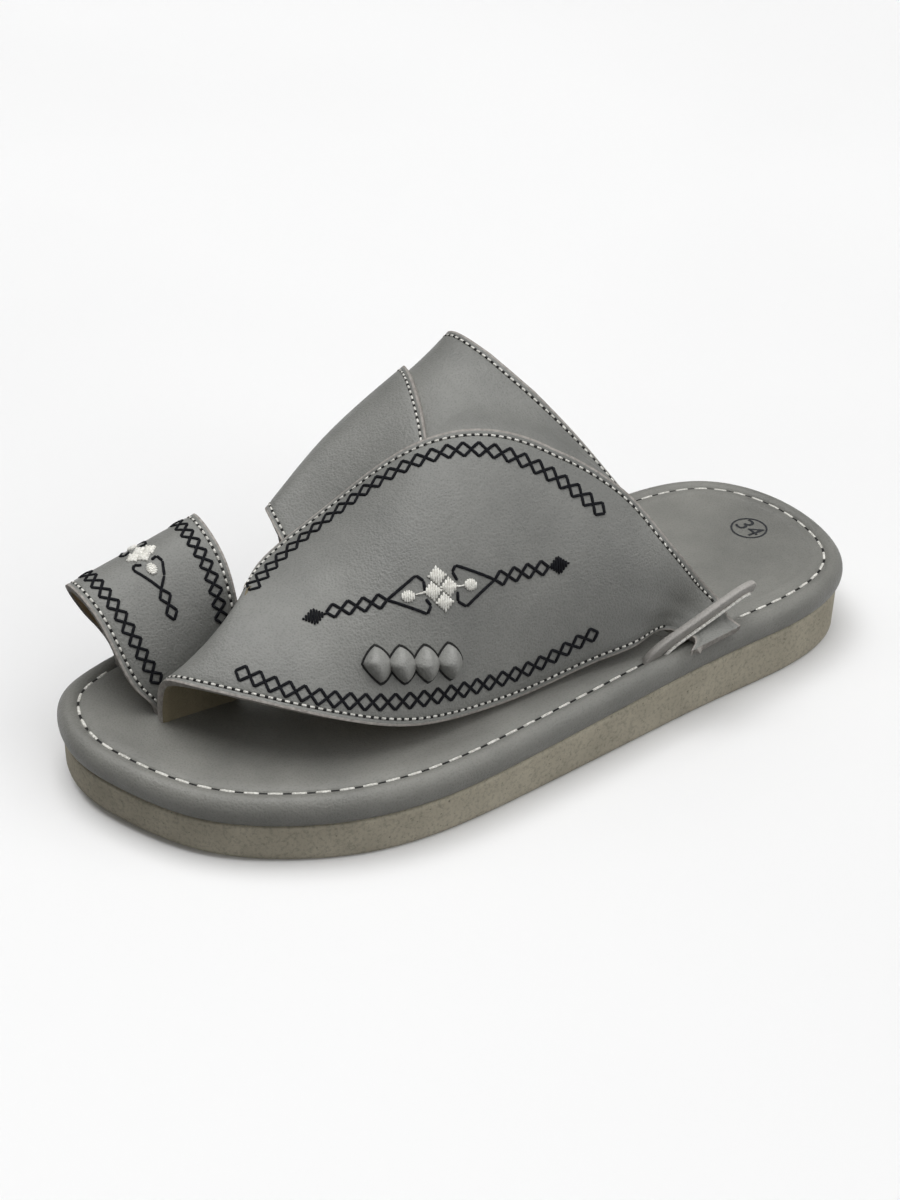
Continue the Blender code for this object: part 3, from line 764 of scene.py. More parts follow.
def root_rows(span, across):
    """Two rows that stand in the medial seam of the footbed, the lower one inside it."""
    rows = []
    for depth in (-0.25 * ROOT_DEPTH, ROOT_DEPTH):
        shares = np.linspace(span[1], span[0], across)
        inset = RIM_WIDTH - STRAP_WALL / 2
        rows.append(np.array([rooted(-1, share, inset, depth) for share in shares]))
    return rows


print("the toe loop's root is at", rooted(-1, LOOP_ROOT[0], RIM_WIDTH, ROOT_DEPTH).round(4))

# %% [markdown]
# The panel comes first, because the medial strap starts in a lap under it, and the instep band laps
# under both. Sewn leather lies one layer below the other, so each lap is read from the surface above
# it, lowered by the thickness of the leather.

# %% The four strap surfaces


def leaf_surface(rows=181, across=61):
    sections = []
    for row in LEAF:
        low = place(row.low_x, row.low_y, row.low_z)
        high = place(row.high_x, row.high_y, row.high_z)
        sections.append(bowed(low, high, row.crown * INSTEP_RISE, across))
    sections += tail_rows(1, LEAF_TAIL, across, front_first=True)
    return Surface(smooth_grid(sections, rows))


def wing_surface(leaf, rows=61, across=41):
    edge = np.linspace(WING_REAR_AT, WING_FRONT_AT, across)
    laps = np.linspace(1 - LEAF_LAP, 1.0, 7)
    under = np.array([leaf.lowered(edge, np.full(across, v), LAYER_STEP) for v in laps])
    free = []
    for row in WING:
        front = place(row.front_x, row.front_y, row.front_z)
        middle = place(row.mid_x, row.mid_y, row.mid_z)
        rear = place(row.rear_x, row.rear_y, row.rear_z)
        free.append(along_points([rear, middle, front], across))
    free += root_rows(WING_ROOT, across)
    sections = np.array([under[0], under[-1], *free])
    return Surface(np.concatenate([under[:-1], smooth_grid(sections, rows, start=1)]))


def lapped_rows(table, under, count, laps, across):
    """Rows from the collar edge to the edge of the piece above, then on beneath it."""
    knots = np.arange(len(table))
    values = np.array([(*place(row.x, row.y, row.z), row.at) for row in table])
    rows = []
    for *collar, at in natural_spline(knots, values, np.linspace(0, knots[-1], count)):
        lap = under.lowered(np.full(len(laps), at), np.array(laps), LAYER_STEP)
        bend = np.array([collar, lap[0], lap[-1]])
        run = run_along(bend)
        free = natural_spline(run, bend, np.linspace(0, run[1], across - len(lap) + 1))
        rows.append(np.concatenate([free[:-1], lap]))
    return rows


def band_surface(leaf, wing, across=41):
    laps = np.linspace(1.0, 1 - LEAF_LAP, 9)
    rows = lapped_rows(COLLAR_OVER_LEAF, leaf, 53, laps, across)
    laps = np.linspace(0.0, WING_LAP, 9)
    rows += lapped_rows(COLLAR_OVER_WING, wing, 33, laps, across)
    sections = [rows[-1], *straight_rows(COLLAR_FREE, across)]
    sections += tail_rows(-1, BAND_TAIL, across, front_first=False)
    return Surface(np.concatenate([rows[:-1], smooth_grid(sections, 61)]))


def loop_surface(rows=121, across=41):
    sections = straight_rows(LOOP, across) + root_rows(LOOP_ROOT, across)
    return Surface(smooth_grid(sections, rows))


leaf = leaf_surface()
wing = wing_surface(leaf)
band = band_surface(leaf, wing)
loop = loop_surface()
print("panel is", round(leaf.widths.max() * 1000), "mm wide at its widest")

# %% [markdown]
# ## Cutting the straps
# A strap's edge is stitched about two millimetres in, and the thread pulls a fine groove into the
# leather. So the grid's lines lie close together beside the edges and even between them. The sheet
# gets its thickness from a Solidify modifier with the lining inside and a pale cut edge, and a small
# bevel softens the knife's corner. The outermost line of faces is pale too, as the knife bares it.

# %% Straps with a sewn edge
SEAM_INSET = 0.0017
SEAM_GROOVE = 0.00032
GROOVE_HALF = 0.0005
BROKEN_CORNER = 0.0004
EDGE_STATIONS = np.array((0.0, 0.0006, 0.0010, 0.0013, 0.0017, 0.0021, 0.0027, 0.0042))


def no_reach(u):
    return 0.0 * u


LEAF_REACH = (
    (0.640, 0.0), (0.700, 0.0018), (0.745, 0.0026), (0.800, 0.0014), (0.860, 0.0008),
    (0.920, 0.0013), (0.950, 0.0016), (0.975, 0.0),
)


def leaf_reach(u):
    """How far the panel's upper edge runs on over the collar, so that both end in one edge."""
    at, out = np.array(LEAF_REACH).T
    return np.maximum(natural_spline(at, out, np.clip(u, at[0], at[-1])), 0)


def sewn_grid(surface, rows, middle, sewn=(True, True), creases=None, reach=no_reach):
    """Points of a strap with its lines gathered at the edges and a groove under each stitch line."""
    u = np.linspace(0, 1, rows)[:, None]
    width = surface.width(u)
    full = width + reach(u)
    near = np.broadcast_to(EDGE_STATIONS, (rows, len(EDGE_STATIONS)))
    even = np.linspace(0, 1, middle + 2)[1:-1]
    mid = near[:, -1:] + (full - 2 * near[:, -1:]) * even
    from_low = np.concatenate([near, mid, full - near[:, ::-1]], axis=1)
    u = np.broadcast_to(u, from_low.shape)
    depth = np.zeros(from_low.shape)
    for edge, from_edge in zip(sewn, (from_low, full - from_low)):
        if edge:
            depth += SEAM_GROOVE * np.exp(-(((from_edge - SEAM_INSET) / GROOVE_HALF) ** 2))
    if creases:
        depth += creases(u, from_low / width)
    return surface.lowered(u, from_low / width, depth)


def add_strap(name, points, inside, node):
    finishes = [leather, inside, cut_edge]
    strap = add_piece(name, shaped_grid(points, edge_finish=2), finishes, [node])
    shell = strap.modifiers.new("wall", "SOLIDIFY")
    shell.thickness = STRAP_WALL
    shell.offset = -1.0
    shell.use_even_offset = False
    shell.material_offset = 1
    shell.material_offset_rim = 2
    corner = strap.modifiers.new("broken corner", "BEVEL")
    corner.width = BROKEN_CORNER
    corner.segments = 2
    corner.profile = 0.5
    corner.limit_method = "ANGLE"
    corner.angle_limit = math.radians(50)


GATHERS = ((0.28, 0.12, 0.0003), (0.58, 0.13, 0.0004))
GATHERS_AT = 0.875
GATHERS_REACH = 0.085


def leaf_creases(u, v):
    """Soft gathers where the panel narrows into its ear."""
    along = np.exp(-(((u - GATHERS_AT) / GATHERS_REACH) ** 2))
    return sum(deep * along * np.exp(-(((v - at) / wide) ** 2)) for at, wide, deep in GATHERS)


panel = sewn_grid(leaf, 181, 40, creases=leaf_creases, reach=leaf_reach)
add_strap("leaf_panel", panel, painted_shade_lining, "upper")
add_strap("medial_strap", sewn_grid(wing, 81, 26), lining, "upper")
add_strap("instep_band", sewn_grid(band, 161, 26, sewn=(True, False)), lining, "upper")
add_strap("big_toe_loop", sewn_grid(loop, 121, 22), brown_lining, "toe_loop")

# %% [markdown]
# ## The ears
# Each end of the upper passes under a small arched strip that stands in the footbed's seam. The outer
# one is pale and drawn out along the rim, the inner one is a half disc. The strip's section is a
# rounded rectangle between an outer and an inner arc, carried along the arcs.

# %% The two ears
EAR_WALL = 0.0024
TIP_SHARE = 0.07
CORNER_POWER = 0.45
Arc = namedtuple("Arc", "outer_y outer_z inner_y inner_z")
LATERAL_ARC = (
    Arc(0.622, -0.0036, 0.641, -0.0036),
    Arc(0.630, 0.0015, 0.650, -0.0008),
    Arc(0.656, 0.0046, 0.669, 0.0016),
    Arc(0.691, 0.0068, 0.694, 0.0034),
    Arc(0.730, 0.0097, 0.730, 0.0062),
    Arc(0.765, 0.0122, 0.761, 0.0084),
    Arc(0.786, 0.0116, 0.774, 0.0078),
    Arc(0.789, 0.0070, 0.774, 0.0052),
    Arc(0.778, 0.0015, 0.760, 0.0006),
    Arc(0.770, -0.0036, 0.751, -0.0036),
)
MEDIAL_ARC = (
    Arc(0.622, -0.0036, 0.648, -0.0036),
    Arc(0.618, 0.0040, 0.645, 0.0040),
    Arc(0.622, 0.0120, 0.648, 0.0105),
    Arc(0.640, 0.0195, 0.660, 0.0150),
    Arc(0.673, 0.0228, 0.674, 0.0166),
    Arc(0.703, 0.0203, 0.689, 0.0150),
    Arc(0.725, 0.0150, 0.702, 0.0113),
    Arc(0.740, 0.0085, 0.713, 0.0068),
    Arc(0.747, 0.0020, 0.718, 0.0020),
    Arc(0.746, -0.0036, 0.717, -0.0036),
)
Ear = namedtuple("Ear", "side lean arcs ends_at")
EARS = {
    "ear_lateral": Ear(1, 0.25, LATERAL_ARC, 6.0),
    "ear_medial": Ear(-1, 0.45, MEDIAL_ARC, 9.0),
}


def ear_point(ear, arc, across, wall):
    """A point of an ear: across runs from the outer to the inner arc, wall from face to face."""
    along = arc[0] + (arc[2] - arc[0]) * across
    rise = arc[1] + (arc[3] - arc[1]) * across
    inset = RIM_WIDTH + wall * EAR_WALL - ear.lean * max(rise, 0.0)
    return rooted(ear.side, along, inset, -rise)


def ear_arcs(ear, stations):
    """The ear's arcs from its front root to its rear end; a free end is drawn to a round tip."""
    knots = np.arange(len(ear.arcs))
    shares = np.linspace(0, 1, stations)
    arcs = natural_spline(knots, np.array(ear.arcs), shares * ear.ends_at)
    if ear.ends_at < knots[-1]:
        tip = np.clip((shares - 1 + TIP_SHARE) / TIP_SHARE, 0, 0.995)[:, None]
        middle = (arcs[:, :2] + arcs[:, 2:]) / 2
        arcs = np.tile(middle, 2) + (arcs - np.tile(middle, 2)) * np.sqrt(1 - tip**2)
    return arcs


def soft_corner(value):
    return math.copysign(abs(value) ** CORNER_POWER, value)


def ear_shell(ear, stations=64, around=20):
    turns = np.linspace(0, 2 * math.pi, around + 1)
    sections = [(0.5 + 0.5 * soft_corner(math.cos(t)), 0.5 * soft_corner(math.sin(t))) for t in turns]
    points = [[ear_point(ear, arc, a, w) for a, w in sections] for arc in ear_arcs(ear, stations)]
    made = shaped_grid(np.array(points))
    bmesh.ops.remove_doubles(made, verts=made.verts, dist=1e-6)
    bmesh.ops.holes_fill(made, edges=[edge for edge in made.edges if edge.is_boundary])
    return close_shell(made)


add_piece("outer_ear", ear_shell(EARS["ear_lateral"]), [ear_leather], ["ear_lateral"])
add_piece("inner_ear", ear_shell(EARS["ear_medial"]), [leather], ["ear_medial"])

# %% [markdown]
# ## Thread
# A stitch is a short length of thread that swells in the middle and dives at both ends. A sphere with
# very few faces, stretched and turned, is enough for one, because there are hundreds of them. Small
# dark beads between the stitches are painted shade: they stand for the shade in the needle's holes.

# %% Helpers for stitches


def unit(vector):
    return vector / np.linalg.norm(vector)


FULLER_SHOULDERS = (1.28, 1.28, 1.15)


def thread_bead():
    """A sphere of very few faces from the operator, filled out towards its two ends."""
    made = bmesh.new()
    bmesh.ops.create_uvsphere(made, u_segments=6, v_segments=4, radius=1.0)
    shoulders = [vert for vert in made.verts if 0.1 < abs(vert.co.z) < 0.9]
    bmesh.ops.scale(made, vec=FULLER_SHOULDERS, verts=shoulders)
    return finished_mesh("thread_bead", made)


BEAD = thread_bead()


def add_thread(made, start, end, up, width, height):
    """One stitch from start to end, lying on a surface whose outward direction is up."""
    along = unit(end - start)
    up = unit(up - along * up.dot(along))
    side = np.cross(up, along)
    length = np.linalg.norm(end - start)
    turn = np.column_stack([side * width / 2, up * height / 2, along * length / 2])
    bead = BEAD.copy()
    bead.transform(Matrix.Translation(Vector((start + end) / 2)) @ Matrix(turn.tolist()).to_4x4())
    made.from_mesh(bead)
    bpy.data.meshes.remove(bead)


def at_run(path, run, where_to):
    """The point of a path that lies this far along it."""
    return np.array([np.interp(where_to, run, path[:, k]) for k in range(3)])


def stitch_line(name, path, ups, pitch, length, width, height, finish, shift=0.0):
    """Stitches of one length along a path, each on the surface below it."""
    run = run_along(path)
    made = bmesh.new()
    for i in range(int((run[-1] - length) / pitch)):
        middle = (i + 0.5 + shift) * pitch
        ends = [at_run(path, run, middle + s * length / 2) for s in (-1, 1)]
        add_thread(made, *ends, at_run(ups, run, middle), width, height)
    add_piece(name, made, [finish])


def surface_line(surface, u, v, rise):
    """A path on a surface and the surface's outward direction along it."""
    return surface.lowered(u, v, -rise), surface.normal(u, v)


print("one thread has", len(BEAD.polygons), "faces")

# %% [markdown]
# The edges are sewn with white thread at about ten stitches in two centimetres. Each line runs at the
# same distance from its edge, so its place across the strap is that distance over the strap's width.

# %% Edge stitching
STITCH_PITCH = 0.0021
STITCH_LENGTH = 0.0014
STITCH_WIDTH = 0.00066
STITCH_HEIGHT = 0.00058
# Size of a dark bead of painted shade in each needle hole.
HOLE_SHADE_BEAD = (0.0010, 0.0008, 0.0004)


def sew_edge(name, surface, span, high, reach=no_reach):
    u = np.linspace(span[0], span[1], 400)
    width = surface.width(u)
    v = (width + reach(u) - SEAM_INSET) / width if high else SEAM_INSET / width
    path, ups = surface_line(surface, u, v, -0.4 * SEAM_GROOVE)
    size = (STITCH_LENGTH, STITCH_WIDTH, STITCH_HEIGHT)
    stitch_line(name, path, ups, STITCH_PITCH, *size, white_thread)
    # Dark beads between the stitches: painted shade in the needle holes.
    stitch_line(name + "_holes", path, ups, STITCH_PITCH, *HOLE_SHADE_BEAD, shade_dark, shift=0.5)


sew_edge("leaf_low_seam", leaf, (0.07, 0.93), high=False)
sew_edge("leaf_high_seam", leaf, (0.07, 0.952), high=True, reach=leaf_reach)
sew_edge("strap_rear_seam", wing, (0.10, 0.93), high=False)
sew_edge("strap_front_seam", wing, (0.10, 0.93), high=True)
sew_edge("collar_seam", band, (0.0, 0.93), high=False)
sew_edge("loop_rear_seam", loop, (0.08, 0.93), high=False)
sew_edge("loop_front_seam", loop, (0.08, 0.93), high=True)

# %% [markdown]
# The rim of the footbed is sewn with long white stitches that lie in the groove. They stop where a
# strap or an ear stands in the seam. Dark beads between them are painted shade in the needle holes.

# %% Long stitches of the rim
RIM_PITCH = 0.0059
RIM_STITCH = 0.0042
RIM_THREAD = (0.00092, 0.0011)
RIM_SHADE_BEAD = (0.0009, 0.0005)
RIM_SINK = 0.135
STITCH_ENDS = (-0.5, 0.5)
SHADE_BEAD_ENDS = (0.36, 1.05)
ROOT_SPANS = {-1: (LOOP_ROOT, WING_ROOT, (0.620, 0.748)), 1: ((0.622, 0.772),)}


def sew_rim():
    angles = np.linspace(0, 2 * math.pi, 1600)
    flat = inset_outline(angles, RIM_WIDTH)
    groove = pad_top(flat[:, 1]) - RIM_SINK * PAD_THICK
    path = np.column_stack([flat, groove])
    run = run_along(path)
    up = np.array([0.0, 0.0, 1.0])
    made, shade_beads = bmesh.new(), bmesh.new()
    count = round(run[-1] / RIM_PITCH)
    pitch = run[-1] / count
    for i in range(count):
        places = (i + 0.5) * pitch + np.array(STITCH_ENDS + SHADE_BEAD_ENDS) * RIM_STITCH
        start, end, before, after = [at_run(path, run, s) for s in places]
        side = 1 if (start + end)[0] > 0 else -1
        shares = share_along(np.array([start[1], end[1]]))
        if any(a < shares.max() and b > shares.min() for a, b in ROOT_SPANS[side]):
            continue
        add_thread(made, start, end, up, *RIM_THREAD)
        # A dark bead between two stitches: painted shade in the needle holes of the groove.
        add_thread(shade_beads, before, after, up, *RIM_SHADE_BEAD)
    add_piece("rim_holes", shade_beads, [shade_dark])
    add_piece("rim_stitches", made, [white_thread])


sew_rim()

# %% [markdown]
# ## Embroidery
# The pattern is a traditional one: chains of small open diamonds along the edges, and between two
# filled diamonds a line of chain, two arrow-heads and a cross of four white diamonds. The lines are
# given by points on the strap, as shares along and across, and every thread is laid on the surface.

# %% Helpers for embroidery
CHAIN_PITCH = 0.0040
CHAIN_HALF = 0.0021
THREAD_WIDTH = 0.00088
THREAD_HEIGHT = 0.00065
THREAD_RISE = 0.00012
LINK_WIDTH = 0.0005
OVERSHOOT = 1.12
SATIN_HEIGHT = 0.0009
SATIN_CLOSER = 1.04
SATIN_SLANT = 0.12


def drawn_path(surface, points, samples=240):
    """A smooth line through points given by shares, with its outward directions."""
    points = np.asarray(points, float)
    knots = run_along(surface.lowered(points[:, 0], points[:, 1]))
    shares = natural_spline(knots, points, np.linspace(0, knots[-1], samples))
    return surface_line(surface, shares[:, 0], shares[:, 1], THREAD_RISE)


def lay_line(made, surface, points, stitch=0.0028, width=THREAD_WIDTH):
    """Straight threads from point to point, cut into short stitches that follow the surface."""
    for first, last in zip(points, points[1:]):
        shares = np.linspace(first, last, 9)
        path, ups = surface_line(surface, shares[:, 0], shares[:, 1], THREAD_RISE)
        run = run_along(path)
        pieces = max(1, round(run[-1] / stitch))
        for i in range(pieces):
            span = (run[-1] * (i - 0.2) / pieces, run[-1] * (i + 1.2) / pieces)
            start, end = at_run(path, run, span[0]), at_run(path, run, span[1])
            up = at_run(ups, run, sum(span) / 2)
            add_thread(made, start, end, up, width, THREAD_HEIGHT)


def lay_chain(made, surface, points, pitch=CHAIN_PITCH, half=CHAIN_HALF):
    """A chain of open diamonds along a line, each of four crossing threads."""
    path, ups = drawn_path(surface, points)
    run = run_along(path)
    count = max(1, round(run[-1] / pitch))
    step = run[-1] / count
    for i in range(count):
        near, far = at_run(path, run, i * step), at_run(path, run, (i + 1) * step)
        up = unit(at_run(ups, run, (i + 0.5) * step))
        middle = at_run(path, run, (i + 0.5) * step)
        side = np.cross(up, unit(far - near)) * half
        for tip in (near, far):
            for corner in (middle + side, middle - side):
                centre = (tip + corner) / 2
                reach = (corner - tip) / 2 * OVERSHOOT
                add_thread(made, centre - reach, centre + reach, up, THREAD_WIDTH, THREAD_HEIGHT)


def lay_satin(made, surface, centre, size, count, round_shape=False, towards=None):
    """A filled diamond or dot of parallel threads. size is along its heading and across it."""
    middle = surface.lowered(*centre, -THREAD_RISE)
    up = unit(surface.normal(*centre))
    ahead = surface.lowered(*(towards or (centre[0] + 0.01, centre[1]))) - middle
    along = unit(ahead - up * ahead.dot(up))
    side = np.cross(up, along)
    half_long, half_wide = size[0] / 2, size[1] / 2
    power = 2.0 if round_shape else 1.0
    across = np.linspace(-half_wide, half_wide, 81)
    for i in range(count):
        at = ((i + 0.5) / count * 2 - 1) * half_long
        forward = at + SATIN_SLANT * across
        edge = np.abs(forward / half_long) ** power + np.abs(across / half_wide) ** power
        inside = across[edge < 1]
        ends = [middle + along * (at + SATIN_SLANT * s) + side * s for s in (inside[0], inside[-1])]
        add_thread(made, *ends, up, SATIN_CLOSER * size[0] / count, SATIN_HEIGHT)


print("one diamond of the chain is", CHAIN_PITCH * 1000, "mm long")

# %% [markdown]
# The panel has a chain along each long edge. The motif with the cross stands between them.

# %% Embroidery on the panel
UPPER_CHAIN = (
    (0.219, 0.800), (0.280, 0.875), (0.344, 0.910), (0.466, 0.924), (0.548, 0.922),
    (0.623, 0.900), (0.719, 0.870),
)
LOWER_CHAIN = (
    (0.214, 0.165), (0.260, 0.096), (0.358, 0.072), (0.463, 0.085), (0.576, 0.096),
    (0.694, 0.138), (0.767, 0.232),
)
FRONT_DIAMOND = (0.313, 0.426)
REAR_DIAMOND = (0.673, 0.553)
FRONT_CHAIN = ((0.331, 0.430), (0.375, 0.428), (0.419, 0.430))
REAR_CHAIN = ((0.577, 0.463), (0.615, 0.493), (0.658, 0.535))
FRONT_ARROW = (
    (0.473, 0.440), (0.471, 0.477), (0.460, 0.500), (0.419, 0.430), (0.477, 0.363),
    (0.482, 0.390), (0.474, 0.415),
)
REAR_ARROW = (
    (0.520, 0.464), (0.512, 0.495), (0.516, 0.517), (0.577, 0.463), (0.536, 0.374),
    (0.522, 0.394), (0.521, 0.428),
)
WHITE_CROSS = ((0.490, 0.488), (0.508, 0.446), (0.502, 0.396), (0.484, 0.437))
WHITE_DOTS = ((0.449, 0.431), (0.540, 0.447))
WHITE_LINKS = (((0.459, 0.433), (0.475, 0.437)), ((0.518, 0.443), (0.531, 0.447)))
MOTIF_HALF = 0.0019
BLACK_DIAMOND = (0.0062, 0.0054)
WHITE_DIAMOND = (0.0050, 0.0056)
WHITE_DOT = (0.0034, 0.0034)

black_work = bmesh.new()
lay_chain(black_work, leaf, UPPER_CHAIN)
lay_chain(black_work, leaf, LOWER_CHAIN)
lay_chain(black_work, leaf, FRONT_CHAIN, half=MOTIF_HALF)
lay_chain(black_work, leaf, REAR_CHAIN, half=MOTIF_HALF)
lay_line(black_work, leaf, FRONT_ARROW)
lay_line(black_work, leaf, REAR_ARROW)
for diamond, chain in ((FRONT_DIAMOND, FRONT_CHAIN), (REAR_DIAMOND, REAR_CHAIN)):
    lay_satin(black_work, leaf, diamond, BLACK_DIAMOND, 9, towards=chain[1])
add_piece("leaf_black_embroidery", black_work, [black_thread])

white_work = bmesh.new()
for diamond in WHITE_CROSS:
    lay_satin(white_work, leaf, diamond, WHITE_DIAMOND, 8)
for dot in WHITE_DOTS:
    lay_satin(white_work, leaf, dot, WHITE_DOT, 6, round_shape=True)
for link in WHITE_LINKS:
    lay_line(white_work, leaf, link, width=LINK_WIDTH)
add_piece("leaf_white_embroidery", white_work, [bright_thread])

# %% [markdown]
# The loop carries the same work in small: a chain along each edge, and on its crest a white cross
# between two arrow-heads, each ending in a short chain.

# %% Embroidery on the toe loop
LOOP_CREST = 0.520
LOOP_REAR_CHAIN = ((0.225, 0.155), (0.300, 0.146), (0.450, 0.142), (0.600, 0.142), (0.800, 0.150))
LOOP_FRONT_CHAIN = ((0.145, 0.795), (0.260, 0.823), (0.417, 0.850), (0.600, 0.850), (0.820, 0.830))
LOOP_ARROW = (
    (0.482, 0.455), (0.487, 0.410), (0.464, 0.396), (0.422, 0.440), (0.390, 0.506),
    (0.477, 0.600), (0.492, 0.575), (0.480, 0.530),
)
LOOP_CHAIN = ((0.390, 0.506), (0.340, 0.503), (0.296, 0.505))
LOOP_CROSS = ((0.520, 0.420), (0.535, 0.480), (0.520, 0.545), (0.505, 0.480))
LOOP_DOT = (0.455, 0.490)
LOOP_PITCH = 0.0036
LOOP_HALF = 0.0018
LOOP_MOTIF_HALF = 0.0015
LOOP_DIAMOND = (0.0040, 0.0046)
LOOP_DOT_SIZE = (0.0034, 0.0030)


def across_crest(points):
    return [(2 * LOOP_CREST - u, v) for u, v in points]


black_work = bmesh.new()
for chain in (LOOP_REAR_CHAIN, LOOP_FRONT_CHAIN):
    lay_chain(black_work, loop, chain, LOOP_PITCH, LOOP_HALF)
for turn_over in (list, across_crest):
    lay_line(black_work, loop, turn_over(LOOP_ARROW))
    lay_chain(black_work, loop, turn_over(LOOP_CHAIN), half=LOOP_MOTIF_HALF)
add_piece("loop_black_embroidery", black_work, [black_thread])

white_work = bmesh.new()
for diamond in LOOP_CROSS:
    lay_satin(white_work, loop, diamond, LOOP_DIAMOND, 7)
for dot in (LOOP_DOT, *across_crest([LOOP_DOT])):
    lay_satin(white_work, loop, dot, LOOP_DOT_SIZE, 6, round_shape=True)
add_piece("loop_white_embroidery", white_work, [bright_thread])

# %% [markdown]
# ## The lozenges
# A strip of the same leather is laced in and out of the panel, and comes out four times as a small
# puffed lozenge; its leather is a lighter copy of the grey, as painted light on the raised puffs. Each
# starts as a sphere from the operator. Its points are pushed out to a lozenge, flattened, leaned, and
# laid on the panel, with its lower half sunk a little. The same shape, wider, flat and dark, lies under
# each one as painted shade: a dark rim round the lozenge, where it comes out of its slit.

# %% Puffed lozenges
LOZENGE_COUNT = 4
LOZENGE_FROM = (0.402, 0.205)
LOZENGE_TO = (0.512, 0.198)
LOZENGE_LENGTH = 0.0090
LOZENGE_WIDTH = 0.0072
LOZENGE_HEIGHT = 0.0046
LOZENGE_LEFT = 1.22
LOZENGE_RIGHT = 1.55
LOZENGE_LEAN = 0.16
LOZENGE_LIFT = 0.34
LOZENGE_DOME = (0.94, 0.06)
LOZENGE_UNDER = 0.25
# A wider, flat, dark copy of each lozenge lies under it as painted shade round the puff.
SHADE_RIM_WIDER = 1.16
SHADE_RIM_HEIGHT = 0.0002


def lozenge(made, centre, wider, height):
    u, v = centre
    step = 0.01
    along = np.linalg.norm(leaf.lowered(u + step, v) - leaf.lowered(u - step, v)) / (2 * step)
    across = np.linalg.norm(leaf.lowered(u, v + step) - leaf.lowered(u, v - step)) / (2 * step)
    ball = bmesh.ops.create_uvsphere(made, u_segments=28, v_segments=16, radius=1.0)
    for vert in ball["verts"]:
        reach = math.hypot(vert.co.x, vert.co.y)
        angle = math.atan2(vert.co.y, vert.co.x)
        bend = LOZENGE_LEFT if vert.co.x < 0 else LOZENGE_RIGHT
        corner = abs(math.cos(angle)) ** bend + abs(math.sin(angle)) ** bend
        size = wider * reach / corner ** (1 / bend)
        up = size * math.sin(angle)
        right = size * math.cos(angle) - LOZENGE_LEAN * up
        puff = LOZENGE_UNDER * vert.co.z
        if vert.co.z > 0:
            puff = LOZENGE_DOME[0] * vert.co.z + LOZENGE_DOME[1] * (1 - reach)
        rise = height * puff * (1 - LOZENGE_LIFT * right)
        spot = (u + right * LOZENGE_WIDTH / 2 / along, v + up * LOZENGE_LENGTH / 2 / across)
        vert.co = leaf.lowered(*spot, -SEAT_GAP / 2 - rise)


def lozenge_row(wider, height):
    made = bmesh.new()
    for centre in np.linspace(LOZENGE_FROM, LOZENGE_TO, LOZENGE_COUNT):
        lozenge(made, centre, wider, height)
    bmesh.ops.recalc_face_normals(made, faces=made.faces)
    return made


lozenges = lozenge_row(1.0, LOZENGE_HEIGHT)
add_piece("puffed_lozenges", lozenges, [lozenge_painted_light_leather], ["lozenge_chain"])
# Painted shade: a dark rim round each lozenge, where it comes out of its slit.
add_piece("lozenge_shade_rims", lozenge_row(SHADE_RIM_WIDER, SHADE_RIM_HEIGHT), [shade_dark])

# %% [markdown]
# ## Stitching on the ears
# The inner ear has dark stitches close to its arch. The outer one shows one bright line of thread
# along its lower edge.

# %% Ear stitches


def ear_line(ear, across, wall, stations=160, to_tip=0.0):
    """A path along an ear's face. It may drift towards the middle near the rear tip."""
    arcs = ear_arcs(ear, stations)
    drift = across - to_tip * ease((np.linspace(0, 1, stations) - 0.65) / 0.35)
    path = np.array([ear_point(ear, arc, a, wall) for arc, a in zip(arcs, drift)])
    inner = np.array([ear_point(ear, arc, a, 0.0) for arc, a in zip(arcs, drift)])
    ups = path - inner
    return path, ups / np.linalg.norm(ups, axis=1, keepdims=True)


INNER_STITCH = (0.0026, 0.0018, 0.0006, 0.0005)
OUTER_STITCH = (0.0017, 0.0028, 0.0010, 0.0010)
for name, wall in (("inner_ear_stitches", -0.50), ("inner_ear_back_stitches", 0.50)):
    path, ups = ear_line(EARS["ear_medial"], 0.26, wall)
    stitch_line(name, path[14:-14], ups[14:-14], *INNER_STITCH, black_thread)
path, ups = ear_line(EARS["ear_lateral"], 1.02, -0.62, to_tip=0.30)
stitch_line("outer_ear_thread", path[14:], ups[14:], *OUTER_STITCH, bright_thread, shift=0.8)

# %% [markdown]
# ## The printed size
# The size is stamped on the footbed near the heel: two digits in a ring, in dark ink. The digits are
# a text object that is made a mesh first. Text and ring are then laid just above the leather.

# %% Print the size
PRINT_AT = (-0.0025, 0.0941)
PRINT_RING = 0.0054
PRINT_LINE = 0.00055
DIGIT_HEIGHT = 0.0084
PRINT_RISE = 0.00012


def lay_print(made):
    for vert in made.verts:
        x, y = vert.co.x + PRINT_AT[0], vert.co.y + PRINT_AT[1]
        vert.co = (x, y, pad_surface(x, y) + PRINT_RISE)
    bmesh.ops.recalc_face_normals(made, faces=made.faces)
    if sum(face.normal.z for face in made.faces) < 0:
        bmesh.ops.reverse_faces(made, faces=made.faces)
    return made


def size_digits(text):
    curve = bpy.data.curves.new("size_digits", "FONT")
    curve.body = text
    curve.size = DIGIT_HEIGHT
    curve.align_x = "CENTER"
    curve.align_y = "CENTER"
    curve.resolution_u = 3
    writer = set_out("size_digits", curve)
    bpy.context.view_layer.update()
    made = bmesh.new()
    made.from_mesh(writer.evaluated_get(bpy.context.evaluated_depsgraph_get()).to_mesh())
    bpy.data.objects.remove(writer, do_unlink=True)
    return made


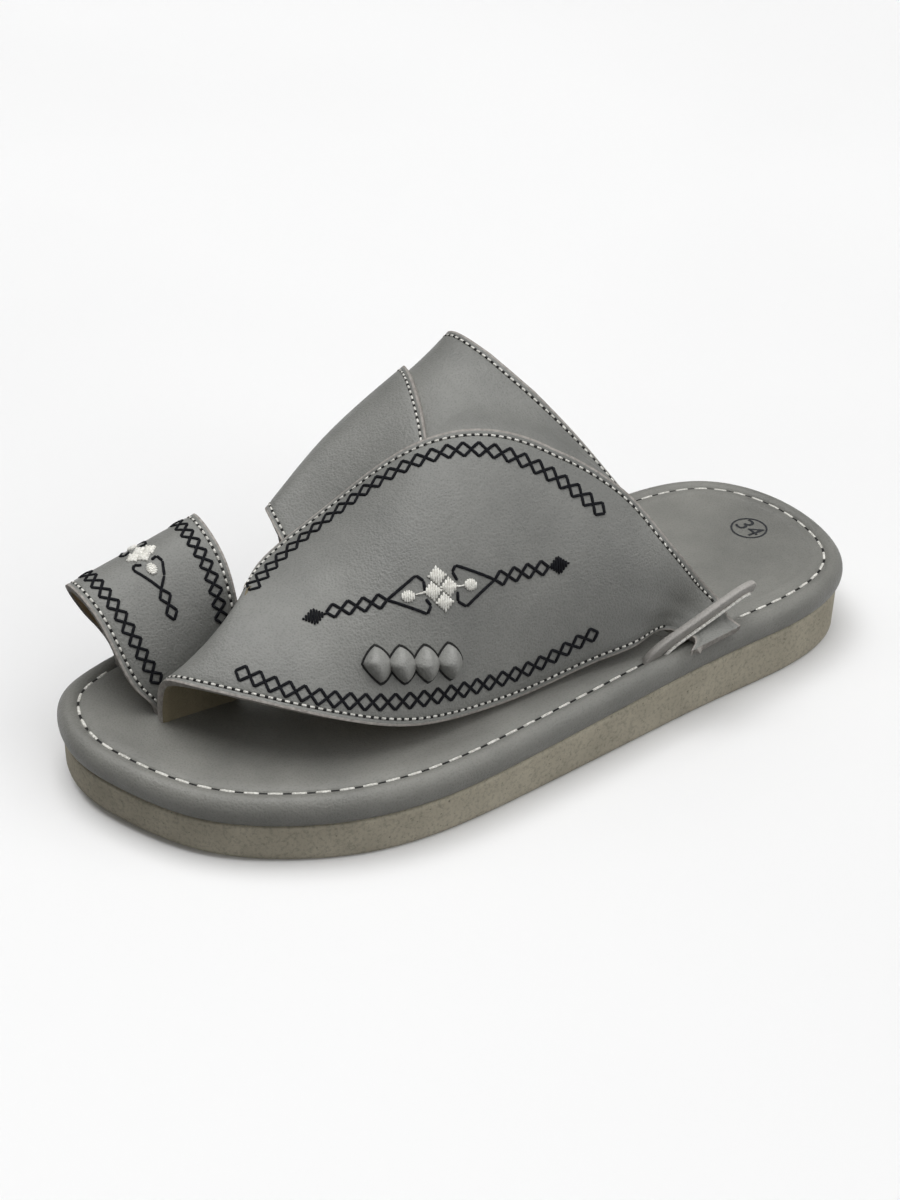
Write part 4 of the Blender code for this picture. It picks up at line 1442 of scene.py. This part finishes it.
def size_ring():
    made = bmesh.new()
    bmesh.ops.create_circle(made, cap_ends=True, segments=64, radius=PRINT_RING)
    middle = bmesh.ops.inset_region(
        made, faces=made.faces, use_boundary=True, use_even_offset=True, thickness=PRINT_LINE
    )
    keep = set(middle["faces"])
    bmesh.ops.delete(made, geom=[face for face in made.faces if face not in keep], context="FACES_ONLY")
    return made


add_piece("size_number", lay_print(size_digits("34")), [ink])
add_piece("size_ring", lay_print(size_ring()), [ink])

# %% [markdown]
# ## Studio
# The photograph was taken in soft light from above and cut out on white. So the straps are bright on
# top and dark towards the floor. Broad suns give an even floor: one stands above, one lights the toe
# from the inner side, and one the heel from the outer side. The floor throws no light back on the shoe.

# %% Floor and light
FLOOR_HALF = 4.0
BACKDROP_REACH = 6.0


def add_floor():
    made = bmesh.new()
    bmesh.ops.create_grid(made, x_segments=1, y_segments=1, size=FLOOR_HALF)
    pale = new_finish("pale_floor", roughness=0.9, specular=0.2)
    tones = ((0.4, (0.86, 0.86, 0.86)), (0.6, (0.88, 0.88, 0.88)))
    give(pale, "Base Color", ramp(pale, noise(pale, 3.0), tones))
    floor = set_out("studio_floor", finished_mesh("studio_floor", made, [pale]))
    floor.visible_diffuse = False


def add_backdrop():
    """A pale studio wall all round, which only the camera sees, so that it throws no light."""
    made = bmesh.new()
    bmesh.ops.create_uvsphere(made, u_segments=48, v_segments=24, radius=BACKDROP_REACH)
    bmesh.ops.reverse_faces(made, faces=made.faces)
    pale = new_finish("pale_wall", roughness=1.0, specular=0.0)
    give(pale, "Emission Color", ramp(pale, noise(pale, 0.2), ((0.4, 0.95), (0.6, 0.98))))
    shader = pale.node_tree.nodes["Principled BSDF"]
    shader.inputs["Base Color"].default_value = (0.0, 0.0, 0.0, 1.0)
    shader.inputs["Emission Strength"].default_value = 1.0
    mesh = finished_mesh("studio_backdrop", made, [pale])
    mesh.shade_smooth()
    backdrop = set_out("studio_backdrop", mesh)
    backdrop.visible_diffuse = False
    backdrop.visible_glossy = False
    backdrop.visible_transmission = False
    backdrop.visible_shadow = False


WORLD_STRENGTH = 0.15
Lamp = namedtuple("Lamp", "name towards strength width")
LAMPS = (
    Lamp("top_light", (-0.15, -0.10, 1.0), 1.85, 45),
    Lamp("toe_light", (-0.65, -0.45, 1.15), 0.35, 40),
    Lamp("heel_light", (0.64, 0.42, 0.70), 1.30, 70),
)


def add_lamp(lamp):
    data = bpy.data.lights.new(lamp.name, "SUN")
    data.energy = lamp.strength
    data.angle = math.radians(lamp.width)
    light = set_out(lamp.name, data)
    light.location = lamp.towards
    light.rotation_euler = Vector(lamp.towards).to_track_quat("Z", "Y").to_euler()


add_floor()
add_backdrop()
for lamp in LAMPS:
    add_lamp(lamp)
world = bpy.data.worlds.new("pale_surrounding")
world.use_nodes = True
background = world.node_tree.nodes["Background"]
background.inputs["Color"].default_value = (1.0, 1.0, 1.0, 1.0)
background.inputs["Strength"].default_value = WORLD_STRENGTH
bpy.context.scene.world = world
bpy.context.scene.view_settings.view_transform = "Standard"
print("lamps:", [lamp.name for lamp in LAMPS])
